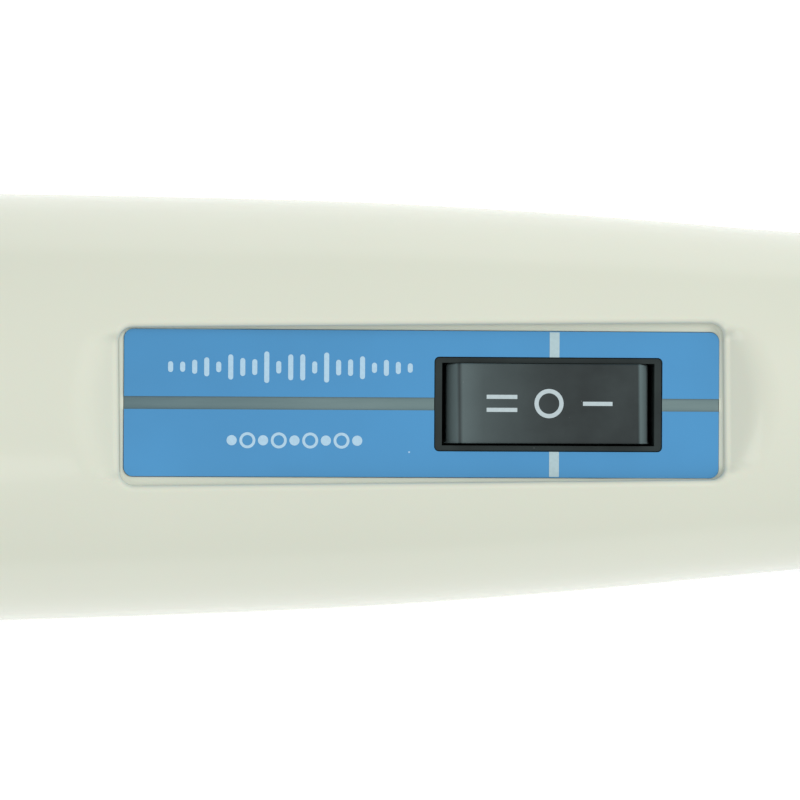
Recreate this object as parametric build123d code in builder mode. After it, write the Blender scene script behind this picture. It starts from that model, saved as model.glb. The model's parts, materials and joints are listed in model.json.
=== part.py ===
"""Handheld mains wand massager, lying on its back with the switch upwards.

Millimetres. +X runs along the wand towards the head, +Z is up out of the switch face.
The origin is under the middle of the wand, on the surface that it lies on.
"""
import os
from math import cos, radians, sin, tan

from build123d import *

os.makedirs("parts", exist_ok=True)

# ---------------------------------------------------------------- driving dimensions
LENGTH = 305.0            # whole wand, from the gland to the tip of the head
HEAD_RADIUS = 31.0        # soft head
AXIS_Z = HEAD_RADIUS      # height of the wand's axis over the surface
FIT = 0.05                # radial clearance of a running fit
GAP = 0.3                 # clearance between bodies that only pass each other

# Handle: (x, half width and height, depth of the back below the axis)
TAIL_X = -150.0
NOSE_X = 72.0
SECTIONS = [
    (TAIL_X, 22.4, 24.4),
    (-132.0, 24.9, 28.4),
    (-107.0, 26.9, 32.0),
    (-75.0, 27.6, 33.3),
    (-42.0, 27.3, 33.1),
    (-16.0, 26.65, 32.0),
    (10.0, 25.65, 29.7),
    (36.0, 23.85, 26.3),
    (56.8, 22.0, 23.2),
    (NOSE_X, 20.7, 20.7),
]
WALL = 2.4
TAIL_ROUND = 13.0
NOSE_ROUND = 2.2
NOSE_WALL = 3.0
SEAM = Plane.XY.offset(AXIS_Z)
SCREW_PLACES = [(-128.0, 13.6), (-128.0, -13.6), (60.0, 12.6), (60.0, -12.6)]
SCREW_SEAT = -9.0         # height of the screw heads' seats over the axis
SCREW_TOP = 9.5           # end of the pilot holes
SCREW_HEAD = (2.8, 2.2)
SCREW_SHANK = 1.4
BOSS_RADIUS = 4.2
RIB = 4.0                 # thickness of the ribs that cradle the motor and the front bush

# Switch face: a plane that leans with the taper of the handle
FACE_X = 14.0             # middle of the face plate
FACE_HEIGHT = 21.1        # plate's top over the wand's axis, at its middle
FACE_TILT = 3.8           # degrees, down towards the head
PLATE_SKEW = -0.75        # degrees that plate and switch sit turned in their pocket
PLATE_LENGTH = 72.4
PLATE_WIDTH = 17.8
PLATE_THICK = 1.2
PLATE_CORNER = 1.1
PLATE_PLAY = 0.1          # clearance of the plate's opening round the switch
PLATE_ROOM = 0.1          # clearance of the plate in its seat
POCKET_LENGTH = PLATE_LENGTH + 1.1
POCKET_WIDTH = 19.1
LEDGE_DEPTH = 0.45        # shallow ledge of the pocket round the plate's seat
POCKET_CORNER = 1.7
POCKET_FLOOR = 2.2        # thickness of the housing under the plate
CHANNEL_WIDTH = 1.55      # bare grey line between the two films
CHANNEL_DEPTH = 0.25
FILM_THICK = 0.2
RAMP_ANGLE = 38.0         # the scooped ends of the pocket
RAMP_LIP = 0.3
RAMP_REACH = 5.2
RAMP_CORNER = 4.6

# Rocker switch, in the face plane; s is the distance from the plate's middle
SWITCH_S = 15.3
SWITCH_LENGTH = 27.7
SWITCH_WIDTH = 11.3
SWITCH_WALL = (0.85, 0.62)   # end wall, side wall
SWITCH_DEPTH = 12.6
SWITCH_FLOOR = 1.2
SWITCH_PLAY = 0.2         # clearance of the housing's opening round the switch
FLANGE_OUT = 1.6
FLANGE_THICK = 0.9
ROCKER_LENGTH = 25.0
ROCKER_WIDTH = 9.7
ROCKER_PAD = 21.8
ROCKER_PROUD = 0.9
ROCKER_DISH = 0.25        # hollow of the pad at its middle
ROCKER_FLANK = (-1.3, -3.0)  # top and bottom of the rocker's end faces
ROCKER_KEEL = (4.5, -6.0)    # half length and depth of its underside
ROCKER_EDGE = 0.25
ROCKER_POST = 2.6
ROCKER_PIVOT = -4.2       # depth of the pivot below the plate's top
PIVOT_RADIUS = 1.1
PLUNGER_RADIUS = 1.1
PLUNGER_TIP = -8.45
PLUNGER_TOP = -5.4
PLUNGER_SPRING = (0.75, 0.18, 3.5)   # mean radius, wire radius, turns
POST_END = -7.2
BORE_TOP = -2.6
LEVER_TOP = -8.6
LEVER_THICK = 0.6
LEVER_REACH = 9.0
LEVER_WIDTH = 3.4
TERMINAL_PITCH = 8.0
TERMINAL_END = -15.5
CONTACT_TOP = -10.2
CONTACT_LENGTH = 3.0
BLADE = (0.8, 4.6)

# Motor and drive line
SHAFT_RADIUS = 2.5
CAN_RADIUS = 18.0
CAN_X = (-76.0, -28.0)
CAN_WALL = 1.2
END_CAP_X = -92.0
MAGNET_RADII = (13.3, 16.7)
CORE_RADIUS = 12.8
CORE_X = (-67.0, -43.0)
SLOT_COUNT = 7
SLOT_DEPTH = 6.6
SLOT_WIDTH = 3.0
WINDING_OVERHANG = 4.0
COMMUTATOR_X = (-85.0, -77.5)
COMMUTATOR_RADIUS = 5.4
BRUSH = (4.6, 4.0)        # width along the wand, height
BRUSH_Y = (5.5, 16.0)     # from the commutator to the end of the brush's spring
BRUSH_LENGTH = 5.5
BRUSH_SPRING = (1.5, 0.2, 5)   # mean radius, wire radius, turns
BUSH_RADIUS = 5.0
BUSH_LENGTH = 4.0
BUSH_WALL = 1.5
END_CAP_WALL = 1.8
MOUNT_RADIUS = 21.4
MOUNT_LENGTH = 8.0
MOUNT_XS = (-70.0, -38.0)
SHAFT_MEET_X = -14.0
COUPLING_X = (-22.0, -6.0)
COUPLING_RADIUS = 6.0
GRUB_XS = (-18.0, -10.0)
GRUB_RADIUS = 1.5
FRONT_BUSH_X = (58.0, 66.0)
FRONT_BUSH_RADIUS = 6.0
DRIVE_END_X = 74.5
SHAFT_END_GAP = 0.5       # half the gap between the two shafts in the coupling
SHAFT_CHAMFER = 0.3
RIM_CHAMFER = 0.4

# Neck
COLLAR_X = (66.4, 74.4)
COLLAR_RADII = (10.9, 13.5, 16.6)   # bore, seat in the nose, outer flange
BOOT_X = (74.7, 91.4)
BOOT_RADII = (13.2, 15.0)
BOOT_RIBS = 5
BOOT_RIB_RADIUS = 1.35
NECK_SPRING_X = (70.0, 96.0)
NECK_SPRING_RADIUS = 9.2
NECK_SPRING_WIRE = 1.25
NECK_SPRING_TURNS = 6
DRIVE_SPRING_X = (68.0, 97.5)
DRIVE_SPRING_RADIUS = 3.5
DRIVE_SPRING_WIRE = 0.7
DRIVE_SPRING_TURNS = 17
DRIVE_SPRING_WAY = DRIVE_SPRING_RADIUS + 1.8   # radius of the way left round the drive spring

# Head
HEAD_END_X = LENGTH / 2
HUB_X = 91.8
HUB_NECK_RADIUS = 15.6
HUB_DISC_X = 97.8
COVER_X = 93.0
COVER_LIP = 18.0          # radius of the cover's flat lip at the neck
CORE_WALL_RADII = (22.0, 24.5)
HEAD_SPLIT_X = 121.0
HEAD_CAP_X = 143.0
COVER_BAND_X = (111.5, 136.0)
BEARING_RADII = (SHAFT_RADIUS, 8.0)      # 5 x 16 x 5 ball bearing
BEARING_WIDTH = 5.0
BEARING_XS = (100.0, 134.5)
BALL_RADIUS = 1.5
BALL_PITCH = 5.25
BALL_COUNT = 8
RACE_HALF_GAP = 1.3
HEAD_SHAFT_X = (94.0, 140.8)
WEIGHT_X = (108.5, 127.5)
WEIGHT_RADIUS = 15.0
WEIGHT_HUB = 6.0
CLIP_THICK = 0.7
PILLAR_PITCH = 18.9
PILLAR_RADIUS = 3.3
HEAD_SCREW_LENGTH = 34.0
BEARING_LIP = 0.4         # step that a bearing is pressed against

# Electrics and cord entry
BOARD_X = (-121.0, -97.0)
BOARD_WIDTH = 30.0
BOARD_TOP = -11.0
BOARD_THICK = 1.6
BOARD_PLACES = [(-117.5, 0), (-100.5, 0)]
RECTIFIER_PLACE = (-101.5, 9.0)
RECTIFIER = (7.0, 4.6, 8.0)
CAPACITOR_PLACE = (-112.5, -9.0)
CAPACITOR = (13.0, 7.0, 11.0)
RESISTOR_PLACE = (-112.5, 9.0)
RESISTOR = (13.0, 6.0, 6.0)
CHOKE_PLACE = (-101.5, -9.0)
CHOKE_HEIGHT = 9.0
CHOKE_RADII = (2.6, 3.4, 4.0)        # winding, flanges, cutter
CHOKE_WINDING = (1.5, 6.0)           # its bottom and its height
POST_RADIUS = 2.7
POST_PILOT = 5.0
SMALL_SHANK = 1.1
SMALL_HEAD = (2.2, 1.4)
GLAND_BORE = 3.6
GLAND_RADIUS = 6.4
GLAND_FLANGE = 9.0
CLAMP_X = -137.0
CLAMP_REACH = 12.0
CLAMP_WIDTH = 7.0
CLAMP_PLACES = [(CLAMP_X, 9.0), (CLAMP_X, -9.0)]
CLAMP_SEAT = -0.5
CLAMP_THICK = 5.5
GRIP_X = (-144.9, -143.1)            # rib behind the gland, its hole a little under the cord's size
GRIP_RADIUS = 3.1
BULKHEAD_X = (-131.5, -129.0)        # wall behind the clamp, with a hole for each lead
LEAD_HOLES = [(9.0, -3.0), (-9.0, -3.0)]
LEAD_HOLE_RADIUS = 2.0

AXIS = Axis((0, 0, AXIS_Z), (1, 0, 0))
LENGTHWISE = Plane(origin=(0, 0, AXIS_Z), x_dir=(1, 0, 0), z_dir=(0, -1, 0))
LEAN = radians(FACE_TILT)
SKEW = radians(PLATE_SKEW)
FROM_BASE = (Align.CENTER, Align.CENTER, Align.MIN)
FROM_TOP = (Align.CENTER, Align.CENTER, Align.MAX)
POCKET = Plane(
    origin=(FACE_X, 0, AXIS_Z + FACE_HEIGHT),
    x_dir=(cos(LEAN), 0, -sin(LEAN)),
    z_dir=(sin(LEAN), 0, cos(LEAN)),
)
FACE = Plane(
    origin=POCKET.origin,
    x_dir=POCKET.x_dir * cos(SKEW) + POCKET.y_dir * sin(SKEW),
    z_dir=POCKET.z_dir,
)


# ---------------------------------------------------------------- helpers
def across(x):
    """Plane square to the wand's axis: local x is +Y, local y is +Z."""
    return Plane(origin=(x, 0, AXIS_Z), x_dir=(0, 1, 0), z_dir=(1, 0, 0))


def level(height):
    """Horizontal plane at a height over the wand's axis."""
    return Plane.XY.offset(AXIS_Z + height)


def on_face(height, s=0.0, face=FACE):
    """The face plane moved s along the plate and a height out of it."""
    origin = face.origin + face.x_dir * s + face.z_dir * height
    return Plane(origin=origin, x_dir=face.x_dir, z_dir=face.z_dir)


def beside_face(s=0.0, face=FACE):
    """Plane along the middle of the switch face: local x along the plate, local y out of it."""
    return Plane(origin=on_face(0, s, face).origin, x_dir=face.x_dir, z_dir=-face.y_dir)


def rod(x0, x1, radius, mode=Mode.ADD):
    """Cylinder on the wand's axis, in the part being built."""
    with Locations(across(x0)):
        Cylinder(radius, x1 - x0, align=FROM_BASE, mode=mode)


def tube(x0, x1, outer, inner):
    """Ring on the wand's axis, in the part being built."""
    rod(x0, x1, outer)
    rod(x0, x1, inner, mode=Mode.SUBTRACT)


def save(built, name):
    """Label a finished piece and write it as its own STEP file."""
    built.part.label = name
    export_step(built.part, f"parts/{name}.step")


def handle_solid(inset, tail, nose, tail_round):
    """The handle's tapered form with its flat back, moved inwards by inset."""
    with BuildPart() as form:
        for x, half_width, depth in SECTIONS:
            with BuildSketch(across(min(max(x, tail), nose))):
                with BuildLine():
                    top = half_width - inset
                    EllipticalCenterArc((0, 0), top, top, start_angle=0, arc_size=180)
                    EllipticalCenterArc((0, 0), top, depth - inset, start_angle=180, arc_size=180)
                make_face()
        loft()
        fillet(form.edges().group_by(Axis.X)[0], tail_round)
        with BuildSketch(Plane.XY.offset(inset)):
            Rectangle(2 * LENGTH, 4 * HEAD_RADIUS)
        extrude(amount=-LENGTH, mode=Mode.SUBTRACT)
    return form.part


def coil(base, length, mean_radius, wire_radius, turns):
    """Round-wire helical spring that stands on the plane base."""
    with BuildPart() as spring:
        with BuildLine(base) as path:
            Helix(length / turns, length, mean_radius, direction=base.z_dir)
        with BuildSketch(Plane(origin=path.line @ 0, z_dir=path.line % 0)):
            Circle(wire_radius)
        sweep(is_frenet=True)
    return spring.part


def screw(place, head, shank, length):
    """Cross-head screw in the part being built; place is the top of its head, looking out."""
    head_radius, head_height = head
    with Locations(place):
        Cylinder(head_radius, head_height, align=FROM_TOP)
        Cylinder(shank, length, align=FROM_TOP)
        for turn in (0, 90):
            Box(head_radius * 1.1, head_radius * 0.28, head_height * 1.2,
                rotation=(0, 0, turn), mode=Mode.SUBTRACT)


# ---------------------------------------------------------------- housing
OUTER = handle_solid(0, TAIL_X, NOSE_X, TAIL_ROUND)
CAVITY = handle_solid(WALL, TAIL_X + WALL, NOSE_X - NOSE_WALL, TAIL_ROUND - WALL)

with BuildPart() as handle_form:
    add(OUTER)
    fillet(handle_form.edges().group_by(Axis.X)[-1], NOSE_ROUND)

with BuildPart() as cradle_ribs:
    for x in MOUNT_XS:
        rod(x - RIB / 2, x + RIB / 2, 2 * HEAD_RADIUS)
    rod(FRONT_BUSH_X[0] + RIB / 2, FRONT_BUSH_X[1] - RIB / 2, 2 * HEAD_RADIUS)
    rod(MOUNT_XS[0] - RIB, MOUNT_XS[1] + RIB, MOUNT_RADIUS, mode=Mode.SUBTRACT)
    rod(*FRONT_BUSH_X, FRONT_BUSH_RADIUS, mode=Mode.SUBTRACT)

with BuildPart() as cord_walls:
    rod(*GRIP_X, 2 * HEAD_RADIUS)
    rod(*GRIP_X, GRIP_RADIUS, mode=Mode.SUBTRACT)
    rod(*BULKHEAD_X, 2 * HEAD_RADIUS)

with BuildPart() as upper_inside:
    add(cradle_ribs.part)
    for x, y in SCREW_PLACES:
        with BuildSketch(SEAM):
            with Locations((x, y)):
                Circle(BOSS_RADIUS)
    extrude(amount=LENGTH)
    with BuildSketch(on_face(-PLATE_THICK - POCKET_FLOOR, face=POCKET)):
        Rectangle(POCKET_LENGTH + 2 * WALL, POCKET_WIDTH + 2 * WALL)
    extrude(amount=HEAD_RADIUS)
    add(cord_walls.part)
    split(bisect_by=SEAM, keep=Keep.TOP)
    add(OUTER, mode=Mode.INTERSECT)

with BuildPart() as lower_inside:
    add(cradle_ribs.part)
    with BuildSketch(SEAM):
        with Locations(*SCREW_PLACES):
            Circle(BOSS_RADIUS)
    extrude(amount=-LENGTH)
    with BuildSketch(level(CLAMP_SEAT)):
        with Locations(*CLAMP_PLACES):
            Circle(POST_RADIUS)
    extrude(amount=-LENGTH)
    with BuildSketch(level(BOARD_TOP - BOARD_THICK)):
        with Locations(*BOARD_PLACES):
            Circle(POST_RADIUS)
    extrude(amount=-LENGTH)
    add(cord_walls.part)
    with BuildSketch(across(BULKHEAD_X[0])):
        with Locations(*LEAD_HOLES):
            Circle(LEAD_HOLE_RADIUS)
    extrude(amount=BULKHEAD_X[1] - BULKHEAD_X[0], mode=Mode.SUBTRACT)
    split(bisect_by=SEAM, keep=Keep.BOTTOM)
    add(OUTER, mode=Mode.INTERSECT)

with BuildPart() as pocket_cut:
    end = POCKET_LENGTH / 2
    far = end + RAMP_REACH
    rise = RAMP_LIP + RAMP_REACH * tan(radians(RAMP_ANGLE))
    with BuildSketch(beside_face(face=POCKET)):
        Polygon(
            (-end, RAMP_LIP), (end, RAMP_LIP), (far, rise),
            (far, HEAD_RADIUS), (-far, HEAD_RADIUS), (-far, rise), align=None,
        )
    extrude(amount=POCKET_WIDTH / 2, both=True)
    with BuildSketch(on_face(0, face=POCKET)):
        RectangleRounded(2 * far, POCKET_WIDTH, RAMP_CORNER)
    extrude(amount=HEAD_RADIUS, mode=Mode.INTERSECT)
    with BuildSketch(on_face(-LEDGE_DEPTH, face=POCKET)):
        RectangleRounded(POCKET_LENGTH, POCKET_WIDTH, POCKET_CORNER)
    extrude(amount=HEAD_RADIUS / 2)
    with BuildSketch(on_face(-PLATE_THICK)):
        RectangleRounded(
            PLATE_LENGTH + 2 * PLATE_ROOM, PLATE_WIDTH + 2 * PLATE_ROOM, PLATE_CORNER + PLATE_ROOM
        )
    extrude(amount=PLATE_THICK)

with BuildPart() as switch_cut:
    with BuildSketch(on_face(-PLATE_THICK, SWITCH_S)):
        room = 2 * (FLANGE_OUT + SWITCH_PLAY)
        Rectangle(SWITCH_LENGTH + room, SWITCH_WIDTH + room)
    extrude(amount=-FLANGE_THICK)
    with BuildSketch(on_face(0, SWITCH_S)):
        Rectangle(SWITCH_LENGTH + 2 * SWITCH_PLAY, SWITCH_WIDTH + 2 * SWITCH_PLAY)
    extrude(amount=-SWITCH_DEPTH)

with BuildPart() as front_housing:
    add(handle_form.part)
    split(bisect_by=SEAM, keep=Keep.TOP)
    add(CAVITY, mode=Mode.SUBTRACT)
    add(upper_inside.part)
    add(pocket_cut.part, mode=Mode.SUBTRACT)
    add(switch_cut.part, mode=Mode.SUBTRACT)
    with BuildSketch(SEAM):
        with Locations(*SCREW_PLACES):
            Circle(SCREW_SHANK)
    extrude(amount=SCREW_TOP, mode=Mode.SUBTRACT)
    rod(TAIL_X - 1, TAIL_X + 2 * WALL, GLAND_RADIUS, mode=Mode.SUBTRACT)
    rod(NOSE_X - NOSE_WALL - 1, NOSE_X + 1, COLLAR_RADII[1], mode=Mode.SUBTRACT)
save(front_housing, "front_housing")

with BuildPart() as rear_housing:
    add(handle_form.part)
    split(bisect_by=SEAM, keep=Keep.BOTTOM)
    add(CAVITY, mode=Mode.SUBTRACT)
    add(lower_inside.part)
    with BuildSketch(SEAM):
        with Locations(*SCREW_PLACES):
            Circle(SCREW_SHANK + 0.2)
    extrude(amount=2 * SCREW_SEAT, mode=Mode.SUBTRACT)
    with BuildSketch(level(SCREW_SEAT)):
        with Locations(*SCREW_PLACES):
            Circle(SCREW_HEAD[0] + GAP)
    extrude(amount=-LENGTH, mode=Mode.SUBTRACT)
    with BuildSketch(level(CLAMP_SEAT)):
        with Locations(*CLAMP_PLACES):
            Circle(SMALL_SHANK)
    extrude(amount=-POST_PILOT, mode=Mode.SUBTRACT)
    with BuildSketch(level(BOARD_TOP - BOARD_THICK)):
        with Locations(*BOARD_PLACES):
            Circle(SMALL_SHANK)
    extrude(amount=-POST_PILOT, mode=Mode.SUBTRACT)
    rod(TAIL_X - 1, TAIL_X + 2 * WALL, GLAND_RADIUS, mode=Mode.SUBTRACT)
    rod(NOSE_X - NOSE_WALL - 1, NOSE_X + 1, COLLAR_RADII[1], mode=Mode.SUBTRACT)
save(rear_housing, "rear_housing")

with BuildPart() as housing_screws:
    for x, y in SCREW_PLACES:
        under = Plane(origin=(x, y, AXIS_Z + SCREW_SEAT - SCREW_HEAD[1]), z_dir=(0, 0, -1))
        screw(under, SCREW_HEAD, SCREW_SHANK, SCREW_TOP - SCREW_SEAT + SCREW_HEAD[1] - 1)
save(housing_screws, "housing_screws")

with BuildPart() as cord_gland:
    rod(-LENGTH / 2, TAIL_X, GLAND_FLANGE)
    rod(TAIL_X, TAIL_X + WALL, GLAND_RADIUS)
    rod(TAIL_X + WALL, TAIL_X + 2 * WALL, GLAND_FLANGE - 1)
    chamfer(cord_gland.edges().group_by(Axis.X)[0], 0.8)
    rod(-LENGTH / 2, TAIL_X + 2 * WALL, GLAND_BORE, mode=Mode.SUBTRACT)
save(cord_gland, "cord_gland")

with BuildPart() as cord_clamp:
    with BuildSketch(level(CLAMP_SEAT)):
        with Locations((CLAMP_X, 0)):
            RectangleRounded(CLAMP_WIDTH, 2 * CLAMP_REACH, 2)
    extrude(amount=CLAMP_THICK)
    rod(CLAMP_X - CLAMP_WIDTH, CLAMP_X + CLAMP_WIDTH, GLAND_BORE, mode=Mode.SUBTRACT)
    with BuildSketch(level(CLAMP_SEAT)):
        with Locations(*CLAMP_PLACES):
            Circle(SMALL_SHANK)
    extrude(amount=CLAMP_THICK, mode=Mode.SUBTRACT)
save(cord_clamp, "cord_clamp")

with BuildPart() as clamp_screws:
    for x, y in CLAMP_PLACES:
        top = AXIS_Z + CLAMP_SEAT + CLAMP_THICK + SMALL_HEAD[1]
        screw(Plane(origin=(x, y, top)), SMALL_HEAD, SMALL_SHANK, CLAMP_THICK + POST_PILOT)
save(clamp_screws, "clamp_screws")


# ---------------------------------------------------------------- switch face
def plate_outline():
    """Outline of the face plate with the switch opening, in the sketch being drawn."""
    RectangleRounded(PLATE_LENGTH, PLATE_WIDTH, PLATE_CORNER)
    with Locations((SWITCH_S, 0)):
        opening = SWITCH_LENGTH + 2 * PLATE_PLAY, SWITCH_WIDTH + 2 * PLATE_PLAY
        RectangleRounded(*opening, 0.6, mode=Mode.SUBTRACT)


with BuildPart() as face_plate:
    with BuildSketch(on_face(0)):
        plate_outline()
    extrude(amount=-PLATE_THICK)
save(face_plate, "face_plate")

for name, side in (("label_upper", 1), ("label_lower", -1)):
    with BuildPart() as film:
        with BuildSketch(on_face(0)):
            plate_outline()
            with Locations((0, side * (CHANNEL_WIDTH + PLATE_WIDTH) / 2)):
                Rectangle(PLATE_LENGTH, PLATE_WIDTH, mode=Mode.INTERSECT)
        extrude(amount=FILM_THICK)
    save(film, name)

with BuildPart() as switch_body:
    end_wall, side_wall = SWITCH_WALL
    with BuildSketch(on_face(0, SWITCH_S)):
        RectangleRounded(SWITCH_LENGTH, SWITCH_WIDTH, 0.5)
    extrude(amount=-SWITCH_DEPTH)
    with BuildSketch(on_face(-PLATE_THICK, SWITCH_S)):
        RectangleRounded(SWITCH_LENGTH + 2 * FLANGE_OUT, SWITCH_WIDTH + 2 * FLANGE_OUT, 1)
    extrude(amount=-FLANGE_THICK)
    with BuildSketch(on_face(0, SWITCH_S)):
        Rectangle(SWITCH_LENGTH - 2 * end_wall, SWITCH_WIDTH - 2 * side_wall)
    extrude(amount=-SWITCH_DEPTH + SWITCH_FLOOR, mode=Mode.SUBTRACT)
    with BuildSketch(beside_face(SWITCH_S)):
        with Locations((0, ROCKER_PIVOT)):
            Circle(PIVOT_RADIUS + FIT)
    extrude(amount=SWITCH_WIDTH, both=True, mode=Mode.SUBTRACT)
    with BuildSketch(on_face(-SWITCH_DEPTH, SWITCH_S)):
        with GridLocations(TERMINAL_PITCH, 0, 3, 1):
            Rectangle(*BLADE)
    extrude(amount=SWITCH_FLOOR, mode=Mode.SUBTRACT)
save(switch_body, "switch_body")

with BuildPart() as switch_terminals:
    with BuildSketch(on_face(TERMINAL_END, SWITCH_S)):
        with GridLocations(TERMINAL_PITCH, 0, 3, 1):
            Rectangle(*BLADE)
    extrude(amount=SWITCH_FLOOR - SWITCH_DEPTH - TERMINAL_END)
    with BuildSketch(on_face(SWITCH_FLOOR - SWITCH_DEPTH, SWITCH_S)):
        with GridLocations(2 * TERMINAL_PITCH, 0, 2, 1):
            RectangleRounded(CONTACT_LENGTH, LEVER_WIDTH, 0.5)
    extrude(amount=CONTACT_TOP + SWITCH_DEPTH - SWITCH_FLOOR)
    with BuildSketch(on_face(SWITCH_FLOOR - SWITCH_DEPTH, SWITCH_S)):
        Rectangle(*BLADE)
    extrude(amount=LEVER_TOP - LEVER_THICK - 2 * FIT + SWITCH_DEPTH - SWITCH_FLOOR)
save(switch_terminals, "switch_terminals")

with BuildPart() as contact_lever:
    with BuildSketch(on_face(LEVER_TOP, SWITCH_S)):
        RectangleRounded(2 * LEVER_REACH, LEVER_WIDTH, 0.6)
    extrude(amount=-LEVER_THICK)
save(contact_lever, "contact_lever")

with BuildPart() as rocker:
    pad, reach = ROCKER_PAD / 2, ROCKER_LENGTH / 2
    flank_top, flank_bottom = ROCKER_FLANK
    keel, keel_depth = ROCKER_KEEL
    with BuildSketch(beside_face(SWITCH_S)):
        with BuildLine():
            ThreePointArc((-pad, ROCKER_PROUD), (0, ROCKER_PROUD - ROCKER_DISH), (pad, ROCKER_PROUD))
            Polyline(
                (pad, ROCKER_PROUD), (reach, flank_top), (reach, flank_bottom), (keel, keel_depth),
                (-keel, keel_depth), (-reach, flank_bottom), (-reach, flank_top), (-pad, ROCKER_PROUD),
            )
        make_face()
    extrude(amount=ROCKER_WIDTH / 2, both=True)
    cross_edges = rocker.edges().filter_by(Axis(FACE.origin, FACE.y_dir))
    fillet(cross_edges.group_by(Axis(FACE.origin, FACE.z_dir))[-1], ROCKER_EDGE)
    with BuildSketch(beside_face(SWITCH_S)):
        with Locations((0, ROCKER_PIVOT)):
            Circle(PIVOT_RADIUS)
    extrude(amount=SWITCH_WIDTH / 2 - FIT, both=True)
    with BuildSketch(on_face(ROCKER_PIVOT, SWITCH_S)):
        Circle(ROCKER_POST)
    extrude(amount=POST_END - ROCKER_PIVOT)
    with BuildSketch(on_face(POST_END, SWITCH_S)):
        Circle(PLUNGER_RADIUS)
    extrude(amount=BORE_TOP - POST_END, mode=Mode.SUBTRACT)
save(rocker, "rocker")

with BuildPart() as rocker_plunger:
    with BuildSketch(on_face(PLUNGER_TOP, SWITCH_S)):
        Circle(PLUNGER_RADIUS)
    extrude(amount=PLUNGER_TIP - PLUNGER_TOP)
    fillet(rocker_plunger.edges().group_by(Axis.Z)[0], 0.7)
save(rocker_plunger, "rocker_plunger")

with BuildPart() as plunger_spring:
    add(coil(on_face(PLUNGER_TOP + 0.2, SWITCH_S), BORE_TOP - PLUNGER_TOP - 0.4, *PLUNGER_SPRING))
save(plunger_spring, "plunger_spring")


# ---------------------------------------------------------------- motor
with BuildPart() as motor_can:
    rod(*CAN_X, CAN_RADIUS)
    rod(CAN_X[0], CAN_X[1] - CAN_WALL, CAN_RADIUS - CAN_WALL, mode=Mode.SUBTRACT)
    rod(CAN_X[1] - BUSH_LENGTH, CAN_X[1], BUSH_RADIUS + BUSH_WALL)
    end_circles = motor_can.edges().filter_by(GeomType.CIRCLE).group_by(Axis.X)[-1]
    fillet(end_circles.sort_by(SortBy.RADIUS)[-1], 1.0)
    rod(CAN_X[1] - BUSH_LENGTH, CAN_X[1], BUSH_RADIUS, mode=Mode.SUBTRACT)
save(motor_can, "motor_can")

with BuildPart() as motor_bushes:
    for x in (CAN_X[1] - BUSH_LENGTH, END_CAP_X + END_CAP_WALL):
        tube(x, x + BUSH_LENGTH, BUSH_RADIUS, SHAFT_RADIUS + FIT)
save(motor_bushes, "motor_bushes")

with BuildPart() as motor_magnets:
    inner, outer = MAGNET_RADII
    tube(CORE_X[0] - 4, CORE_X[1] + 4, outer, inner)
    with Locations((CORE_X[0], 0, AXIS_Z)):
        Box(LENGTH, 1.3 * inner, 3 * outer, mode=Mode.SUBTRACT)
save(motor_magnets, "motor_magnets")

with BuildPart() as armature_core:
    tube(*CORE_X, CORE_RADIUS, SHAFT_RADIUS)
    with BuildSketch(across(CORE_X[0])):
        with PolarLocations(CORE_RADIUS - SLOT_DEPTH / 2 + 1, SLOT_COUNT):
            Rectangle(SLOT_DEPTH + 2, SLOT_WIDTH)
    extrude(amount=CORE_X[1] - CORE_X[0], mode=Mode.SUBTRACT)
save(armature_core, "armature_core")

with BuildPart() as armature_windings:
    with BuildSketch(across(CORE_X[0] - WINDING_OVERHANG)):
        with PolarLocations(CORE_RADIUS - SLOT_DEPTH / 2, SLOT_COUNT):
            Rectangle(SLOT_DEPTH - 1, SLOT_WIDTH - 0.2)
    extrude(amount=CORE_X[1] - CORE_X[0] + 2 * WINDING_OVERHANG)
    for x in (CORE_X[0] - WINDING_OVERHANG, CORE_X[1]):
        tube(x, x + WINDING_OVERHANG, CORE_RADIUS - 1.4, SHAFT_RADIUS + 1)
    fillet(armature_windings.edges().filter_by(GeomType.CIRCLE).group_by(Axis.X)[0], 1)
save(armature_windings, "armature_windings")

with BuildPart() as commutator:
    tube(*COMMUTATOR_X, COMMUTATOR_RADIUS, SHAFT_RADIUS)
    with BuildSketch(across(COMMUTATOR_X[0])):
        with PolarLocations(COMMUTATOR_RADIUS, SLOT_COUNT):
            Rectangle(1.6, 0.4)
    extrude(amount=COMMUTATOR_X[1] - COMMUTATOR_X[0] - 1, mode=Mode.SUBTRACT)
save(commutator, "commutator")

with BuildPart() as motor_shaft:
    rod(END_CAP_X + END_CAP_WALL + 0.2, SHAFT_MEET_X - SHAFT_END_GAP, SHAFT_RADIUS)
    chamfer(motor_shaft.edges(), SHAFT_CHAMFER)
save(motor_shaft, "motor_shaft")

brush_x = (COMMUTATOR_X[0] + COMMUTATOR_X[1]) / 2
with BuildPart() as motor_end_cap:
    rod(END_CAP_X, CAN_X[0], CAN_RADIUS)
    fillet(motor_end_cap.edges().group_by(Axis.X)[0], 1.5)
    rod(END_CAP_X + END_CAP_WALL, CAN_X[0], CAN_RADIUS - END_CAP_WALL, mode=Mode.SUBTRACT)
    bush_end = END_CAP_X + END_CAP_WALL + BUSH_LENGTH
    rod(END_CAP_X + 0.5, bush_end, BUSH_RADIUS + BUSH_WALL)
    for side in (-1, 1):
        with Locations((brush_x, side * (BRUSH_Y[1] + BRUSH_Y[0] + 1.5) / 2, AXIS_Z)):
            Box(BRUSH[0] + 3, BRUSH_Y[1] - BRUSH_Y[0] - 0.5, BRUSH[1] + 3)
    rod(bush_end - BUSH_LENGTH, bush_end, BUSH_RADIUS, mode=Mode.SUBTRACT)
    with Locations((brush_x, 0, AXIS_Z)):
        Box(BRUSH[0], 2 * BRUSH_Y[1], BRUSH[1], mode=Mode.SUBTRACT)
save(motor_end_cap, "motor_end_cap")

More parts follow.
